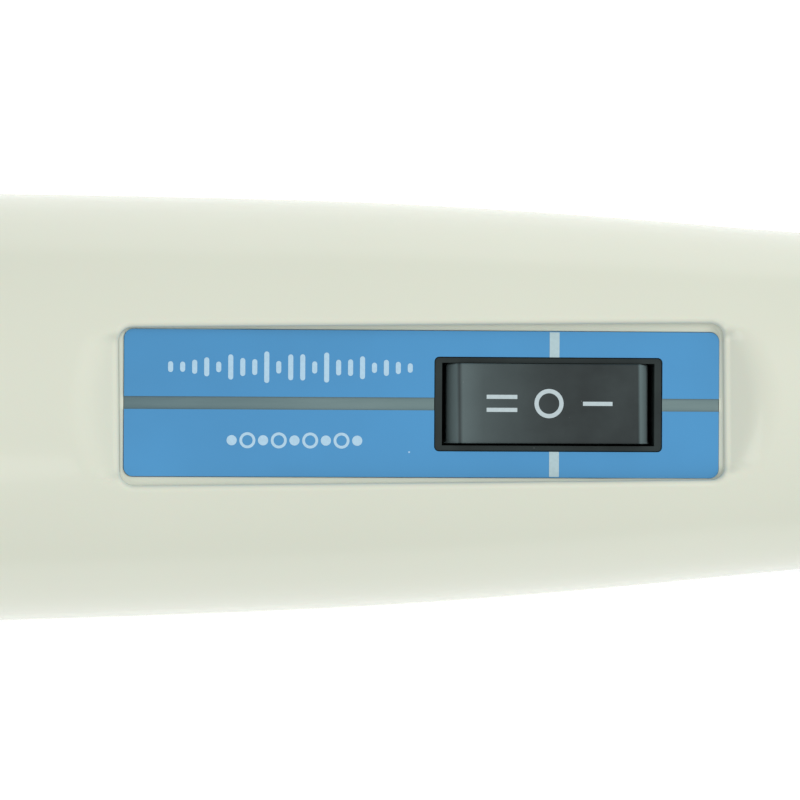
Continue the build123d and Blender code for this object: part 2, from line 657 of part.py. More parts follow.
with BuildPart() as carbon_brushes:
    for side in (-1, 1):
        with Locations((brush_x, side * (BRUSH_Y[0] + BRUSH_LENGTH / 2 - 0.5), AXIS_Z)):
            Box(BRUSH[0] - 2 * FIT, BRUSH_LENGTH + 1, BRUSH[1] - 2 * FIT)
    rod(*COMMUTATOR_X, COMMUTATOR_RADIUS + FIT, mode=Mode.SUBTRACT)
save(carbon_brushes, "carbon_brushes")

with BuildPart() as brush_springs:
    for side in (-1, 1):
        base = Plane(
            origin=(brush_x, side * (BRUSH_Y[0] + BRUSH_LENGTH + 0.4), AXIS_Z),
            x_dir=(1, 0, 0), z_dir=(0, side, 0),
        )
        add(coil(base, BRUSH_Y[1] - BRUSH_Y[0] - BRUSH_LENGTH - 0.8, *BRUSH_SPRING))
save(brush_springs, "brush_springs")

for name, x in (("rear_motor_mount", MOUNT_XS[0]), ("front_motor_mount", MOUNT_XS[1])):
    with BuildPart() as mount_ring:
        tube(x - MOUNT_LENGTH / 2, x + MOUNT_LENGTH / 2, MOUNT_RADIUS, CAN_RADIUS)
    save(mount_ring, name)


# ---------------------------------------------------------------- drive line
with BuildPart() as shaft_coupling:
    tube(*COUPLING_X, COUPLING_RADIUS, SHAFT_RADIUS)
    chamfer(shaft_coupling.edges().filter_by(GeomType.CIRCLE), RIM_CHAMFER)
    for x in GRUB_XS:
        with Locations((x, 0, AXIS_Z)):
            Cylinder(GRUB_RADIUS, COUPLING_RADIUS + 1, align=FROM_BASE, mode=Mode.SUBTRACT)
save(shaft_coupling, "shaft_coupling")

with BuildPart() as coupling_screws:
    for x in GRUB_XS:
        with BuildSketch(Plane(origin=(x, 0, AXIS_Z + SHAFT_RADIUS))):
            Circle(GRUB_RADIUS)
            RegularPolygon(0.75, 6, mode=Mode.SUBTRACT)
    extrude(amount=COUPLING_RADIUS - SHAFT_RADIUS - RIM_CHAMFER)
save(coupling_screws, "coupling_screws")

with BuildPart() as drive_shaft:
    rod(SHAFT_MEET_X + SHAFT_END_GAP, DRIVE_END_X, SHAFT_RADIUS)
    rod(DRIVE_SPRING_X[0] - 1, DRIVE_END_X, DRIVE_SPRING_RADIUS - DRIVE_SPRING_WIRE)
    chamfer(drive_shaft.edges().group_by(Axis.X)[0], SHAFT_CHAMFER)
save(drive_shaft, "drive_shaft")

with BuildPart() as front_bush:
    tube(*FRONT_BUSH_X, FRONT_BUSH_RADIUS, SHAFT_RADIUS + FIT)
    outer_circles = front_bush.edges().filter_by(GeomType.CIRCLE).sort_by(SortBy.RADIUS)[-2:]
    chamfer(outer_circles, RIM_CHAMFER)
save(front_bush, "front_bush")

with BuildPart() as drive_spring:
    add(coil(across(DRIVE_SPRING_X[0]), DRIVE_SPRING_X[1] - DRIVE_SPRING_X[0],
             DRIVE_SPRING_RADIUS, DRIVE_SPRING_WIRE, DRIVE_SPRING_TURNS))
save(drive_spring, "drive_spring")


# ---------------------------------------------------------------- neck
with BuildPart() as neck_collar:
    bore, seat, flange = COLLAR_RADII
    rod(*COLLAR_X, seat)
    rod(NOSE_X, COLLAR_X[1], flange)
    fillet(neck_collar.edges().group_by(Axis.X)[-1], 0.8)
    rod(COLLAR_X[0] + 2, COLLAR_X[1], bore, mode=Mode.SUBTRACT)
    rod(*COLLAR_X, DRIVE_SPRING_WAY, mode=Mode.SUBTRACT)
save(neck_collar, "neck_collar")

with BuildPart() as neck_boot:
    inner, outer = BOOT_RADII
    rod(*BOOT_X, outer)
    pitch = (BOOT_X[1] - BOOT_X[0]) / BOOT_RIBS
    for k in range(BOOT_RIBS):
        with Locations(across(BOOT_X[0] + (k + 0.5) * pitch)):
            Torus(outer, BOOT_RIB_RADIUS)
    rod(*BOOT_X, inner, mode=Mode.SUBTRACT)
save(neck_boot, "neck_boot")

with BuildPart() as neck_spring:
    add(coil(across(NECK_SPRING_X[0]), NECK_SPRING_X[1] - NECK_SPRING_X[0],
             NECK_SPRING_RADIUS, NECK_SPRING_WIRE, NECK_SPRING_TURNS))
save(neck_spring, "neck_spring")


# ---------------------------------------------------------------- head
def pillars(x0, x1, radius, mode=Mode.ADD):
    """The three screw pillars round the head's inside, or their holes."""
    with BuildSketch(across(x0)) as marks:
        with PolarLocations(PILLAR_PITCH, 3, start_angle=90):
            Circle(radius)
    extrude(marks.sketch, amount=x1 - x0, mode=mode)


inner_wall, outer_wall = CORE_WALL_RADII
with BuildPart() as head_hub:
    rod(HUB_X, HUB_DISC_X, HUB_NECK_RADIUS)
    fillet(head_hub.edges().group_by(Axis.X)[0], 0.8)
    rod(HUB_DISC_X, HEAD_SPLIT_X, outer_wall)
    rod(HUB_DISC_X + WALL, HEAD_SPLIT_X, inner_wall, mode=Mode.SUBTRACT)
    rod(HUB_DISC_X, BEARING_XS[0] + BEARING_WIDTH + BEARING_LIP, BEARING_RADII[1] + WALL)
    pillars(HUB_DISC_X, HEAD_SPLIT_X, PILLAR_RADIUS)
    pillars(HUB_DISC_X + WALL, HEAD_SPLIT_X, SCREW_SHANK, mode=Mode.SUBTRACT)
    rod(HUB_X, NECK_SPRING_X[1] + NECK_SPRING_WIRE + GAP, COLLAR_RADII[0] + 0.3, mode=Mode.SUBTRACT)
    rod(HUB_X, HEAD_SPLIT_X, DRIVE_SPRING_WAY, mode=Mode.SUBTRACT)
    rod(BEARING_XS[0], HEAD_SPLIT_X, BEARING_RADII[1], mode=Mode.SUBTRACT)
save(head_hub, "head_hub")

with BuildPart() as head_cap:
    rod(HEAD_SPLIT_X, HEAD_CAP_X, outer_wall)
    rod(HEAD_SPLIT_X, HEAD_CAP_X - WALL, inner_wall, mode=Mode.SUBTRACT)
    rod(BEARING_XS[1] - BEARING_LIP, HEAD_CAP_X, BEARING_RADII[1] + WALL)
    pillars(HEAD_SPLIT_X, HEAD_CAP_X, PILLAR_RADIUS)
    pillars(HEAD_SPLIT_X, HEAD_CAP_X, SCREW_SHANK + 0.2, mode=Mode.SUBTRACT)
    pillars(HEAD_CAP_X - SCREW_HEAD[1], HEAD_CAP_X, SCREW_HEAD[0] + FIT, mode=Mode.SUBTRACT)
    rod(BEARING_XS[1] - BEARING_LIP, BEARING_XS[1] + BEARING_WIDTH, BEARING_RADII[1], mode=Mode.SUBTRACT)
    rod(BEARING_XS[1], HEAD_SHAFT_X[1] + GAP, BALL_PITCH, mode=Mode.SUBTRACT)
save(head_cap, "head_cap")

with BuildPart() as head_screws:
    for turn in (90, 210, 330):
        y = PILLAR_PITCH * cos(radians(turn))
        z = PILLAR_PITCH * sin(radians(turn))
        top = Plane(origin=(HEAD_CAP_X, y, AXIS_Z + z), x_dir=(0, 1, 0), z_dir=(1, 0, 0))
        screw(top, SCREW_HEAD, SCREW_SHANK, HEAD_SCREW_LENGTH)
save(head_screws, "head_screws")

with BuildPart() as head_cover:
    with BuildSketch(LENGTHWISE):
        with BuildLine():
            band0, band1 = COVER_BAND_X
            Line((COVER_X, 0), (COVER_X, COVER_LIP))
            EllipticalCenterArc(
                (band0, COVER_LIP), band0 - COVER_X, HEAD_RADIUS - COVER_LIP,
                start_angle=90, arc_size=90,
            )
            Line((band0, HEAD_RADIUS), (band1, HEAD_RADIUS))
            EllipticalCenterArc(
                (band1, 0), HEAD_END_X - band1, HEAD_RADIUS, start_angle=0, arc_size=90,
            )
            Line((HEAD_END_X, 0), (COVER_X, 0))
        make_face()
    revolve(axis=AXIS)
    rod(COVER_X, HUB_DISC_X, HUB_NECK_RADIUS, mode=Mode.SUBTRACT)
    rod(HUB_DISC_X, HEAD_CAP_X, outer_wall, mode=Mode.SUBTRACT)
save(head_cover, "head_cover")

with BuildPart() as outer_rings:
    bore, rim = BEARING_RADII
    for x in BEARING_XS:
        tube(x, x + BEARING_WIDTH, rim, BALL_PITCH + RACE_HALF_GAP)
        with Locations(across(x + BEARING_WIDTH / 2)):
            Torus(BALL_PITCH, BALL_RADIUS + FIT, mode=Mode.SUBTRACT)
save(outer_rings, "bearing_outer_rings")

with BuildPart() as inner_rings:
    for x in BEARING_XS:
        tube(x, x + BEARING_WIDTH, BALL_PITCH - RACE_HALF_GAP, bore)
        with Locations(across(x + BEARING_WIDTH / 2)):
            Torus(BALL_PITCH, BALL_RADIUS + FIT, mode=Mode.SUBTRACT)
save(inner_rings, "bearing_inner_rings")


def ball_centres(x):
    """Planes at the centres of the balls of the bearing whose near side is at x."""
    for k in range(BALL_COUNT):
        turn = radians(360 / BALL_COUNT * k)
        centre = (x + BEARING_WIDTH / 2, BALL_PITCH * cos(turn), AXIS_Z + BALL_PITCH * sin(turn))
        yield centre


with BuildPart() as bearing_balls:
    for x in BEARING_XS:
        with Locations(*ball_centres(x)):
            Sphere(BALL_RADIUS)
save(bearing_balls, "bearing_balls")

with BuildPart() as ball_cages:
    for x in BEARING_XS:
        tube(x + 0.9, x + BEARING_WIDTH - 0.9, BALL_PITCH + 0.5, BALL_PITCH - 0.5)
        with Locations(*ball_centres(x)):
            Sphere(BALL_RADIUS + FIT, mode=Mode.SUBTRACT)
save(ball_cages, "ball_cages")

with BuildPart() as head_shaft:
    rod(*HEAD_SHAFT_X, SHAFT_RADIUS)
    chamfer(head_shaft.edges(), SHAFT_CHAMFER)
save(head_shaft, "head_shaft")

with BuildPart() as eccentric_weight:
    with BuildSketch(across(WEIGHT_X[0])):
        Circle(WEIGHT_RADIUS)
        with Locations((0, WEIGHT_RADIUS)):
            Rectangle(3 * WEIGHT_RADIUS, 2 * WEIGHT_RADIUS, mode=Mode.SUBTRACT)
        Circle(WEIGHT_HUB)
        Circle(SHAFT_RADIUS, mode=Mode.SUBTRACT)
    extrude(amount=WEIGHT_X[1] - WEIGHT_X[0])
    with Locations(((WEIGHT_X[0] + WEIGHT_X[1]) / 2, 0, AXIS_Z)):
        Cylinder(GRUB_RADIUS, WEIGHT_HUB + 1, align=FROM_BASE, mode=Mode.SUBTRACT)
save(eccentric_weight, "eccentric_weight")

with BuildPart() as weight_screw:
    with BuildSketch(Plane(origin=((WEIGHT_X[0] + WEIGHT_X[1]) / 2, 0, AXIS_Z + SHAFT_RADIUS))):
        Circle(GRUB_RADIUS)
        RegularPolygon(0.75, 6, mode=Mode.SUBTRACT)
    extrude(amount=WEIGHT_HUB - SHAFT_RADIUS)
save(weight_screw, "weight_screw")

with BuildPart() as shaft_clips:
    for x in (BEARING_XS[0] + BEARING_WIDTH + 0.1, BEARING_XS[1] - CLIP_THICK - 0.1):
        tube(x, x + CLIP_THICK, SHAFT_RADIUS + 1.6, SHAFT_RADIUS)
        with Locations((x, 0, AXIS_Z + SHAFT_RADIUS + 1)):
            Box(4 * CLIP_THICK, 1.6, 3, mode=Mode.SUBTRACT)
save(shaft_clips, "shaft_clips")


# ---------------------------------------------------------------- electrics
with BuildPart() as circuit_board:
    with BuildSketch(level(BOARD_TOP)):
        with Locations(((BOARD_X[0] + BOARD_X[1]) / 2, 0)):
            RectangleRounded(BOARD_X[1] - BOARD_X[0], BOARD_WIDTH, 1.5)
        with Locations(*BOARD_PLACES):
            Circle(SMALL_SHANK, mode=Mode.SUBTRACT)
    extrude(amount=-BOARD_THICK)
save(circuit_board, "circuit_board")

with BuildPart() as board_screws:
    for x, y in BOARD_PLACES:
        top = AXIS_Z + BOARD_TOP + SMALL_HEAD[1]
        screw(Plane(origin=(x, y, top)), SMALL_HEAD, SMALL_SHANK, BOARD_THICK + POST_PILOT)
save(board_screws, "board_screws")

with BuildPart() as bridge_rectifier:
    length, width, height = RECTIFIER
    with BuildSketch(level(BOARD_TOP)):
        with Locations(RECTIFIER_PLACE):
            RectangleRounded(length, width, 0.5)
    extrude(amount=height)
    chamfer(bridge_rectifier.edges().group_by(Axis.Z)[-1], 0.4)
save(bridge_rectifier, "bridge_rectifier")

with BuildPart() as filter_capacitor:
    length, width, height = CAPACITOR
    with BuildSketch(level(BOARD_TOP)):
        with Locations(CAPACITOR_PLACE):
            RectangleRounded(length, width, 0.8)
    extrude(amount=height)
    fillet(filter_capacitor.edges().group_by(Axis.Z)[-1], 0.8)
save(filter_capacitor, "filter_capacitor")

with BuildPart() as dropping_resistor:
    length, width, height = RESISTOR
    with BuildSketch(level(BOARD_TOP)):
        with Locations(RESISTOR_PLACE):
            Rectangle(length, width)
    extrude(amount=height)
    chamfer(dropping_resistor.edges().group_by(Axis.Z)[-1], 0.5)
save(dropping_resistor, "dropping_resistor")

with BuildPart() as filter_choke:
    winding, flange, cutter = CHOKE_RADII
    winding_bottom, winding_height = CHOKE_WINDING
    with BuildSketch(level(BOARD_TOP)):
        with Locations(CHOKE_PLACE):
            Circle(flange)
    extrude(amount=CHOKE_HEIGHT)
    with BuildSketch(level(BOARD_TOP + winding_bottom)):
        with Locations(CHOKE_PLACE):
            Circle(cutter)
            Circle(winding, mode=Mode.SUBTRACT)
    extrude(amount=winding_height, mode=Mode.SUBTRACT)
save(filter_choke, "filter_choke")
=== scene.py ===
import json
import math

import bmesh
import bpy
import numpy as np
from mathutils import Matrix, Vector


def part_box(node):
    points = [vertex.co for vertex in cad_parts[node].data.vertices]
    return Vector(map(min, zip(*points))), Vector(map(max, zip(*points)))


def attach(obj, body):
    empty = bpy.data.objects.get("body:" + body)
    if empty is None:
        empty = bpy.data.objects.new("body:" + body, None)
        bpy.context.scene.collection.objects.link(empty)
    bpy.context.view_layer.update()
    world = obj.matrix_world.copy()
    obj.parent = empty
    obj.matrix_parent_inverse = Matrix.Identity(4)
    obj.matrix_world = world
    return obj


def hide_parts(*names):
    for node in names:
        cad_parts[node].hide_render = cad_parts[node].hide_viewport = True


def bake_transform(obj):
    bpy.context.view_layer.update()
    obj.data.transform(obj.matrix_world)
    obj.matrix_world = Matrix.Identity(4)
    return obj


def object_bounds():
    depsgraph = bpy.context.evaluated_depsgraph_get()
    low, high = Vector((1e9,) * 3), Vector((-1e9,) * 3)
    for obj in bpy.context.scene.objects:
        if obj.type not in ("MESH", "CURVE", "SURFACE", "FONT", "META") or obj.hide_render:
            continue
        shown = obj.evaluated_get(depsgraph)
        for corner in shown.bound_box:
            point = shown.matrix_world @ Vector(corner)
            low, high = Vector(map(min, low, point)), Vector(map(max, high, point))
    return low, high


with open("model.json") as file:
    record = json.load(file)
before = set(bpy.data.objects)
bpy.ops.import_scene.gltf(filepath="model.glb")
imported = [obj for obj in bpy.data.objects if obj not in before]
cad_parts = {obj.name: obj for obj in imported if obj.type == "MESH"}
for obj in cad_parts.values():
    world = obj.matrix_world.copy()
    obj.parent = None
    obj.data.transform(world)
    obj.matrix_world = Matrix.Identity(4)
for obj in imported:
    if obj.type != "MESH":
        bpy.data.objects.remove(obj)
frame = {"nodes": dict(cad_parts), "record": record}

CAD_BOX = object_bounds()
MM = 0.001

# ------------------------------------------------------------------ main dimensions, in millimetres
AXIS_Z = (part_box("head_cover")[0].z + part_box("head_cover")[1].z) / 2 / MM
TAIL_X, NOSE_X = -150.0, 72.0
WIDTH_STATIONS = np.array([-150.0, -132.0, -107.0, -75.0, -42.0, -16.0, 10.0, 36.0, 56.8, 72.0])
HALF_WIDTHS = np.array([22.4, 24.9, 26.9, 27.6, 27.3, 26.65, 25.65, 23.85, 22.0, 20.7])
WALL = 2.4
NOSE_WALL = 3.0
TAIL_ROUND, NOSE_ROUND = 13.0, 2.2
GLAND_HOLE, COLLAR_HOLE = 6.4, 13.5     # radii
SEAM_GROOVE = 0.22

FACE_X, FACE_HEIGHT = 14.0, 21.1        # middle of the switch face, and its height over the axis
LEAN = math.radians(3.8)                # the face falls towards the head
PLATE_SKEW = math.radians(-0.75)        # the plate and the switch sit a little askew in the pocket
PLATE_WIDTH, PLATE_LENGTH = 17.8, 72.4
PLATE_CORNER, PLATE_ROOM = 1.1, 0.07    # corner radius, and the play round the plate in its seat
PLATE_THICK, POCKET_FLOOR = 1.2, 2.2
FILM_TOP = 0.2                          # top of the printed films over the face
SWITCH_S = 15.3                         # middle of the switch along the face
SWITCH_X = FACE_X + SWITCH_S

POCKET_HALF = (36.75, 9.55)
POCKET_CORNER = 1.7
LIP_RADIUS, FOOT_RADIUS = 0.7, 0.3      # rounds at the top and at the foot of the pocket's wall
LEDGE_DEPTH = 0.05                      # ledge between the wall's foot and the plate's seat
SEAT_FLOOR = -PLATE_THICK - 0.02
OPENING_HALF, OPENING_CORNER = (14.05, 5.85), 0.6
SCOOP_SLOPE, SCOOP_LIP = math.tan(math.radians(35)), 0.3
SCOOP_OVERLAP = 2.0                     # how far inside the pocket's ends the scoops begin
SCOOP_BORDER, SCOOP_FLARE = 1.9, 1.1    # strip along a scoop's sides that curls up, and how steeply
SCOOP_BLEND = 1.5
INNER_SLOPE, INNER_BLEND = 2.5, 1.2     # how the inner skin comes down round the pocket's underside

PATCH_X = (-33.0, 61.0)                 # the stretch of the front that is modelled round the pocket
PATCH_Y = 15.5


# ------------------------------------------------------------------ helpers
class Face:
    """The leaning plane of the switch face: s along it, y across it, h out of it, all in millimetres."""

    def __init__(self, skew=0.0):
        lean = Vector((math.cos(LEAN), 0, -math.sin(LEAN)))
        across = Vector((0, 1, 0))
        self.out = Vector((math.sin(LEAN), 0, math.cos(LEAN)))
        self.along = lean * math.cos(skew) + across * math.sin(skew)
        self.across = across * math.cos(skew) - lean * math.sin(skew)
        self.origin = Vector((FACE_X, 0, AXIS_Z + FACE_HEIGHT))

    def point(self, s, y, h):
        return self.origin + self.along * s + self.across * y + self.out * h


POCKET = Face()
PLATE = Face(PLATE_SKEW)


def soft_min(a, b, blend):
    """The lower of a and b, rounded over where they meet."""
    near = max(blend - abs(a - b), 0) / blend
    return min(a, b) - near * near * blend / 4


def new_piece(name, points, faces, material, body, sharp=40.0):
    """A closed mesh from points in millimetres, smooth except over edges sharper than the angle."""
    mesh = bpy.data.meshes.new(name)
    mesh.from_pydata([Vector(p) * MM for p in points], [], faces)
    obj = bpy.data.objects.new(name, mesh)
    bpy.context.scene.collection.objects.link(obj)
    finish_mesh(obj, material, sharp)
    if body:
        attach(obj, body)
    return obj


def finish_mesh(obj, material, sharp):
    """Welds the mesh, turns its faces outwards, smooths it and gives it its material."""
    bm = bmesh.new()
    bm.from_mesh(obj.data)
    bmesh.ops.remove_doubles(bm, verts=bm.verts, dist=1e-7)
    bmesh.ops.recalc_face_normals(bm, faces=bm.faces)
    bm.to_mesh(obj.data)
    bm.free()
    obj.data.shade_smooth()
    obj.data.set_sharp_from_angle(angle=math.radians(sharp))
    obj.data.materials.clear()
    obj.data.materials.append(material)


def from_bmesh(name, bm, material, body, sharp=40.0):
    """A piece from a finished bmesh, which is used up."""
    mesh = bpy.data.meshes.new(name)
    bm.to_mesh(mesh)
    bm.free()
    obj = bpy.data.objects.new(name, mesh)
    bpy.context.scene.collection.objects.link(obj)
    finish_mesh(obj, material, sharp)
    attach(obj, body)
    return obj


def revolved(profile, steps, closed):
    """Points and faces of a profile of (x, radius) pairs turned round the wand's axis."""
    points, faces = [], []
    rows = len(profile)
    for k in range(steps):
        turn = 2 * math.pi * k / steps
        points += [(x, r * math.sin(turn), AXIS_Z + r * math.cos(turn)) for x, r in profile]
    for k in range(steps):
        a, b = k * rows, (k + 1) % steps * rows
        for i in range(rows if closed else rows - 1):
            j = (i + 1) % rows
            faces.append((a + i, a + j, b + j, b + i))
    return points, faces


def arc(cx, cy, rx, ry, start, end, count):
    """Points of an elliptical arc, in degrees."""
    turns = np.radians(np.linspace(start, end, count))
    return [(cx + rx * math.cos(t), cy + ry * math.sin(t)) for t in turns]


# ------------------------------------------------------------------ materials
class Shader:
    """A Principled material with a few shorthand calls for its procedural nodes."""

    def __init__(self, name, **sockets):
        self.material = bpy.data.materials.new(name)
        self.material.use_nodes = True
        self.tree = self.material.node_tree
        self.bsdf = self.tree.nodes["Principled BSDF"]
        for socket, value in sockets.items():
            self.bsdf.inputs[socket.replace("_", " ")].default_value = value
        self.place = self.node("ShaderNodeTexCoord").outputs["Object"]

    def node(self, kind, links=(), **settings):
        made = self.tree.nodes.new(kind)
        for name, value in settings.items():
            if name in made.inputs:
                made.inputs[name].default_value = value
            else:
                setattr(made, name.lower(), value)
        for name, source in links:
            self.tree.links.new(source, made.inputs[name])
        return made

    def stretched(self, x, y, z):
        mapping = self.node("ShaderNodeMapping", [("Vector", self.place)])
        mapping.inputs["Scale"].default_value = (x, y, z)
        return mapping.outputs["Vector"]

    def noise(self, per_mm, detail=2.0, vector=None):
        made = self.node("ShaderNodeTexNoise", [("Vector", vector or self.place)])
        made.inputs["Scale"].default_value = per_mm / MM
        made.inputs["Detail"].default_value = detail
        return made.outputs["Fac"]

    def along(self):
        """The x coordinate, in metres."""
        return self.node("ShaderNodeSeparateXYZ", [("Vector", self.place)]).outputs["X"]

    def cells(self, per_mm, feature="F1", vector=None):
        made = self.node("ShaderNodeTexVoronoi", [("Vector", vector or self.place)])
        made.feature = feature
        made.inputs["Scale"].default_value = per_mm / MM
        return made.outputs["Distance"]

    def ramp(self, source, stops):
        """A colour from (position, colour) stops, read at the source's value."""
        made = self.node("ShaderNodeValToRGB", [("Fac", source)])
        elements = made.color_ramp.elements
        while len(elements) < len(stops):
            elements.new(0.5)
        for element, (position, color) in zip(elements, stops):
            element.position = position
            element.color = (*color, 1)
        return made.outputs["Color"]

    def spread(self, source, low, high, start=0.3, end=0.7):
        """The source's stretch from start to end, spread over low to high."""
        made = self.node("ShaderNodeMapRange", [("Value", source)])
        for socket, value in zip(("From Min", "From Max", "To Min", "To Max"), (start, end, low, high)):
            made.inputs[socket].default_value = value
        return made.outputs["Result"]

    def mixed(self, factor, a, b):
        """Colours a and b, each a tuple or an output, mixed by the factor output."""
        made = self.node("ShaderNodeMix", data_type="RGBA")
        self.tree.links.new(factor, made.inputs["Factor"])
        for socket, value in (("A", a), ("B", b)):
            wanted = [i for i in made.inputs if i.name == socket and i.type == "RGBA"][0]
            if isinstance(value, tuple):
                wanted.default_value = (*value, 1)
            else:
                self.tree.links.new(value, wanted)
        return [o for o in made.outputs if o.type == "RGBA"][0]

    def bump(self, source, depth_mm, strength=1.0, under=None):
        made = self.node("ShaderNodeBump", [("Height", source)])
        made.inputs["Distance"].default_value = depth_mm * MM
        made.inputs["Strength"].default_value = strength
        if under:
            self.tree.links.new(under, made.inputs["Normal"])
        return made.outputs["Normal"]

    def set(self, socket, source):
        self.tree.links.new(source, self.bsdf.inputs[socket])
        return self


def shade(color, factor):
    return tuple(min(1.0, c * factor) for c in color)


def drifting(color, drift):
    """Ramp stops from a little darker to a little lighter than the colour."""
    return [(0.3, shade(color, 1 - drift)), (0.7, shade(color, 1 + drift))]


def moulded(name, color, rough, grain=3.0, depth=0.004, drift=0.03, coat=0.0, **sockets):
    """Injection-moulded plastic: slow colour drift, uneven gloss and a fine mould grain."""
    s = Shader(name, Coat_Weight=coat, Coat_Roughness=0.12, **sockets)
    s.set("Base Color", s.ramp(s.noise(0.03), drifting(color, drift)))
    s.set("Roughness", s.spread(s.noise(0.35, 4), rough * 0.85, rough * 1.2))
    s.set("Normal", s.bump(s.noise(grain, 3), depth, 0.5))
    return s.material


def housing_plastic():
    """Glossy cream ABS with a faint warm drift, flow marks and light handling scratches."""
    color = (0.692, 0.716, 0.596)
    s = Shader("cream_abs", Coat_Weight=0.25, Coat_Roughness=0.05, Subsurface_Weight=0.06,
               Subsurface_Scale=0.002, IOR=1.5)
    drift = s.ramp(s.noise(0.018, 2), [(0.3, shade(color, 0.985)), (0.7, shade(color, 1.015))])
    warm = s.noise(0.008, 1, s.stretched(0.4, 1.5, 1.5))
    s.set("Base Color", s.mixed(s.spread(warm, 0.0, 0.35), drift, (0.716, 0.724, 0.608)))
    scratches = s.noise(2.2, 2, s.stretched(0.02, 1.6, 1.6))
    s.set("Roughness", s.spread(scratches, 0.17, 0.27, 0.35, 0.75))
    flow = s.bump(s.noise(0.06, 2, s.stretched(0.35, 1.0, 1.0)), 0.02, 0.35)
    s.set("Normal", s.bump(s.noise(1.6, 3), 0.0016, 0.5, flow))
    return s.material


def film_blue():
    """Printed polyester film: even blue ink, a semi-gloss face and a few dust specks."""
    blue = (0.058, 0.274, 0.540)
    s = Shader("printed_blue_film", Coat_Weight=0.3, Coat_Roughness=0.15)
    ink = s.ramp(s.noise(0.05, 3), [(0.3, shade(blue, 0.94)), (0.7, shade(blue, 1.05))])
    speck = s.spread(s.cells(0.16), 1.0, 0.0, 0.012, 0.022)
    s.set("Base Color", s.mixed(speck, ink, (0.42, 0.62, 0.80)))
    s.set("Roughness", s.spread(s.noise(0.8, 4), 0.30, 0.40))
    s.set("Normal", s.bump(s.noise(2.5, 3), 0.003, 0.4))
    return s.material


def plate_grey():
    """Grey satin plate: long rolling streaks and a fine brushed grain along the wand."""
    s = Shader("grey_plate", Specular_IOR_Level=0.45)
    streak = s.noise(0.9, 4, s.stretched(0.04, 1.0, 1.0))
    tone = s.ramp(streak, [(0.25, (0.130, 0.200, 0.200)), (0.75, (0.178, 0.252, 0.250))])
    dull = s.ramp(streak, [(0.25, (0.092, 0.152, 0.166)), (0.75, (0.122, 0.192, 0.204))])
    # The colour runs darker towards the left end, mixed along x.
    s.set("Base Color", s.mixed(s.spread(s.along(), 0.0, 1.0, -0.022, 0.008), dull, tone))
    s.set("Roughness", s.spread(s.noise(1.2, 3, s.stretched(0.05, 1.0, 1.0)), 0.34, 0.5))
    s.set("Normal", s.bump(s.noise(4.0, 2, s.stretched(0.03, 1.0, 1.0)), 0.004, 0.5))
    return s.material


def switch_black(name, dark, painted_light=()):
    """Spark-eroded black switch plastic: a bloom, specks, and painted highlights in grey from (x,
    amount) stops.
    """
    s = Shader(name, Specular_IOR_Level=0.35, IOR=1.5)
    bloom = s.ramp(s.noise(0.22, 4), [(0.3, shade(dark, 0.82)), (0.7, shade(dark, 1.22))])
    # Painted highlights: grey is mixed over the black along x, where the rocker's slopes and edges catch
    # the light.
    if painted_light:
        (first, _), (last, _) = painted_light[0], painted_light[-1]
        place = s.spread(s.along(), 0.0, 1.0, first * MM, last * MM)
        tone = s.ramp(place, [((x - first) / (last - first), (level,) * 3) for x, level in painted_light])
        bloom = s.mixed(tone, bloom, (0.150, 0.205, 0.208))
    speck = s.spread(s.cells(0.5), 1.0, 0.0, 0.014, 0.026)
    s.set("Base Color", s.mixed(speck, bloom, (0.22, 0.25, 0.25)))
    s.set("Roughness", s.spread(s.noise(1.2, 4), 0.40, 0.54))
    grain = s.bump(s.cells(7.0), 0.010, 0.35)
    s.set("Normal", s.bump(s.noise(14.0, 2), 0.004, 0.35, grain))
    return s.material


def ink_white(name, color):
    """Pad-printed ink, slightly uneven in density."""
    s = Shader(name)
    s.set("Base Color", s.ramp(s.noise(2.5, 3), [(0.3, shade(color, 0.95)), (0.7, shade(color, 1.03))]))
    s.set("Roughness", s.spread(s.noise(4.0, 2), 0.42, 0.55))
    s.set("Normal", s.bump(s.noise(9.0, 2), 0.004, 0.4))
    return s.material


def rubbery(name, color, rough, grain, depth, sheen=0.0, drift=0.06):
    """Rubber or soft vinyl: matt bloom and a fine pebbled skin."""
    s = Shader(name, Sheen_Weight=sheen, Sheen_Roughness=0.5)
    s.set("Base Color", s.ramp(s.noise(0.07, 4), drifting(color, drift)))
    s.set("Roughness", s.spread(s.noise(0.5, 4), rough * 0.9, min(1.0, rough * 1.12)))
    pebble = s.bump(s.cells(grain), depth, 0.5)
    s.set("Normal", s.bump(s.noise(grain * 2.5, 2), depth / 2, 0.4, pebble))
    return s.material


def metal(name, color, rough, streaks=(0.05, 1.0, 1.0), spots=0.0, bloom=0.07):
    """Machined or plated metal: tool streaks, uneven polish and, if asked, dull spots."""
    s = Shader(name, Metallic=1.0)
    tone = s.ramp(s.noise(0.3, 4), drifting(color, bloom))
    stain = s.spread(s.noise(0.9, 5), 0.0, spots, 0.55, 0.8)
    s.set("Base Color", s.mixed(stain, tone, shade(color, 0.35)))
    lines = s.noise(3.0, 3, s.stretched(*streaks))
    s.set("Roughness", s.spread(lines, rough * 0.75, rough * 1.35))
    s.set("Normal", s.bump(lines, 0.004, 0.5))
    return s.material


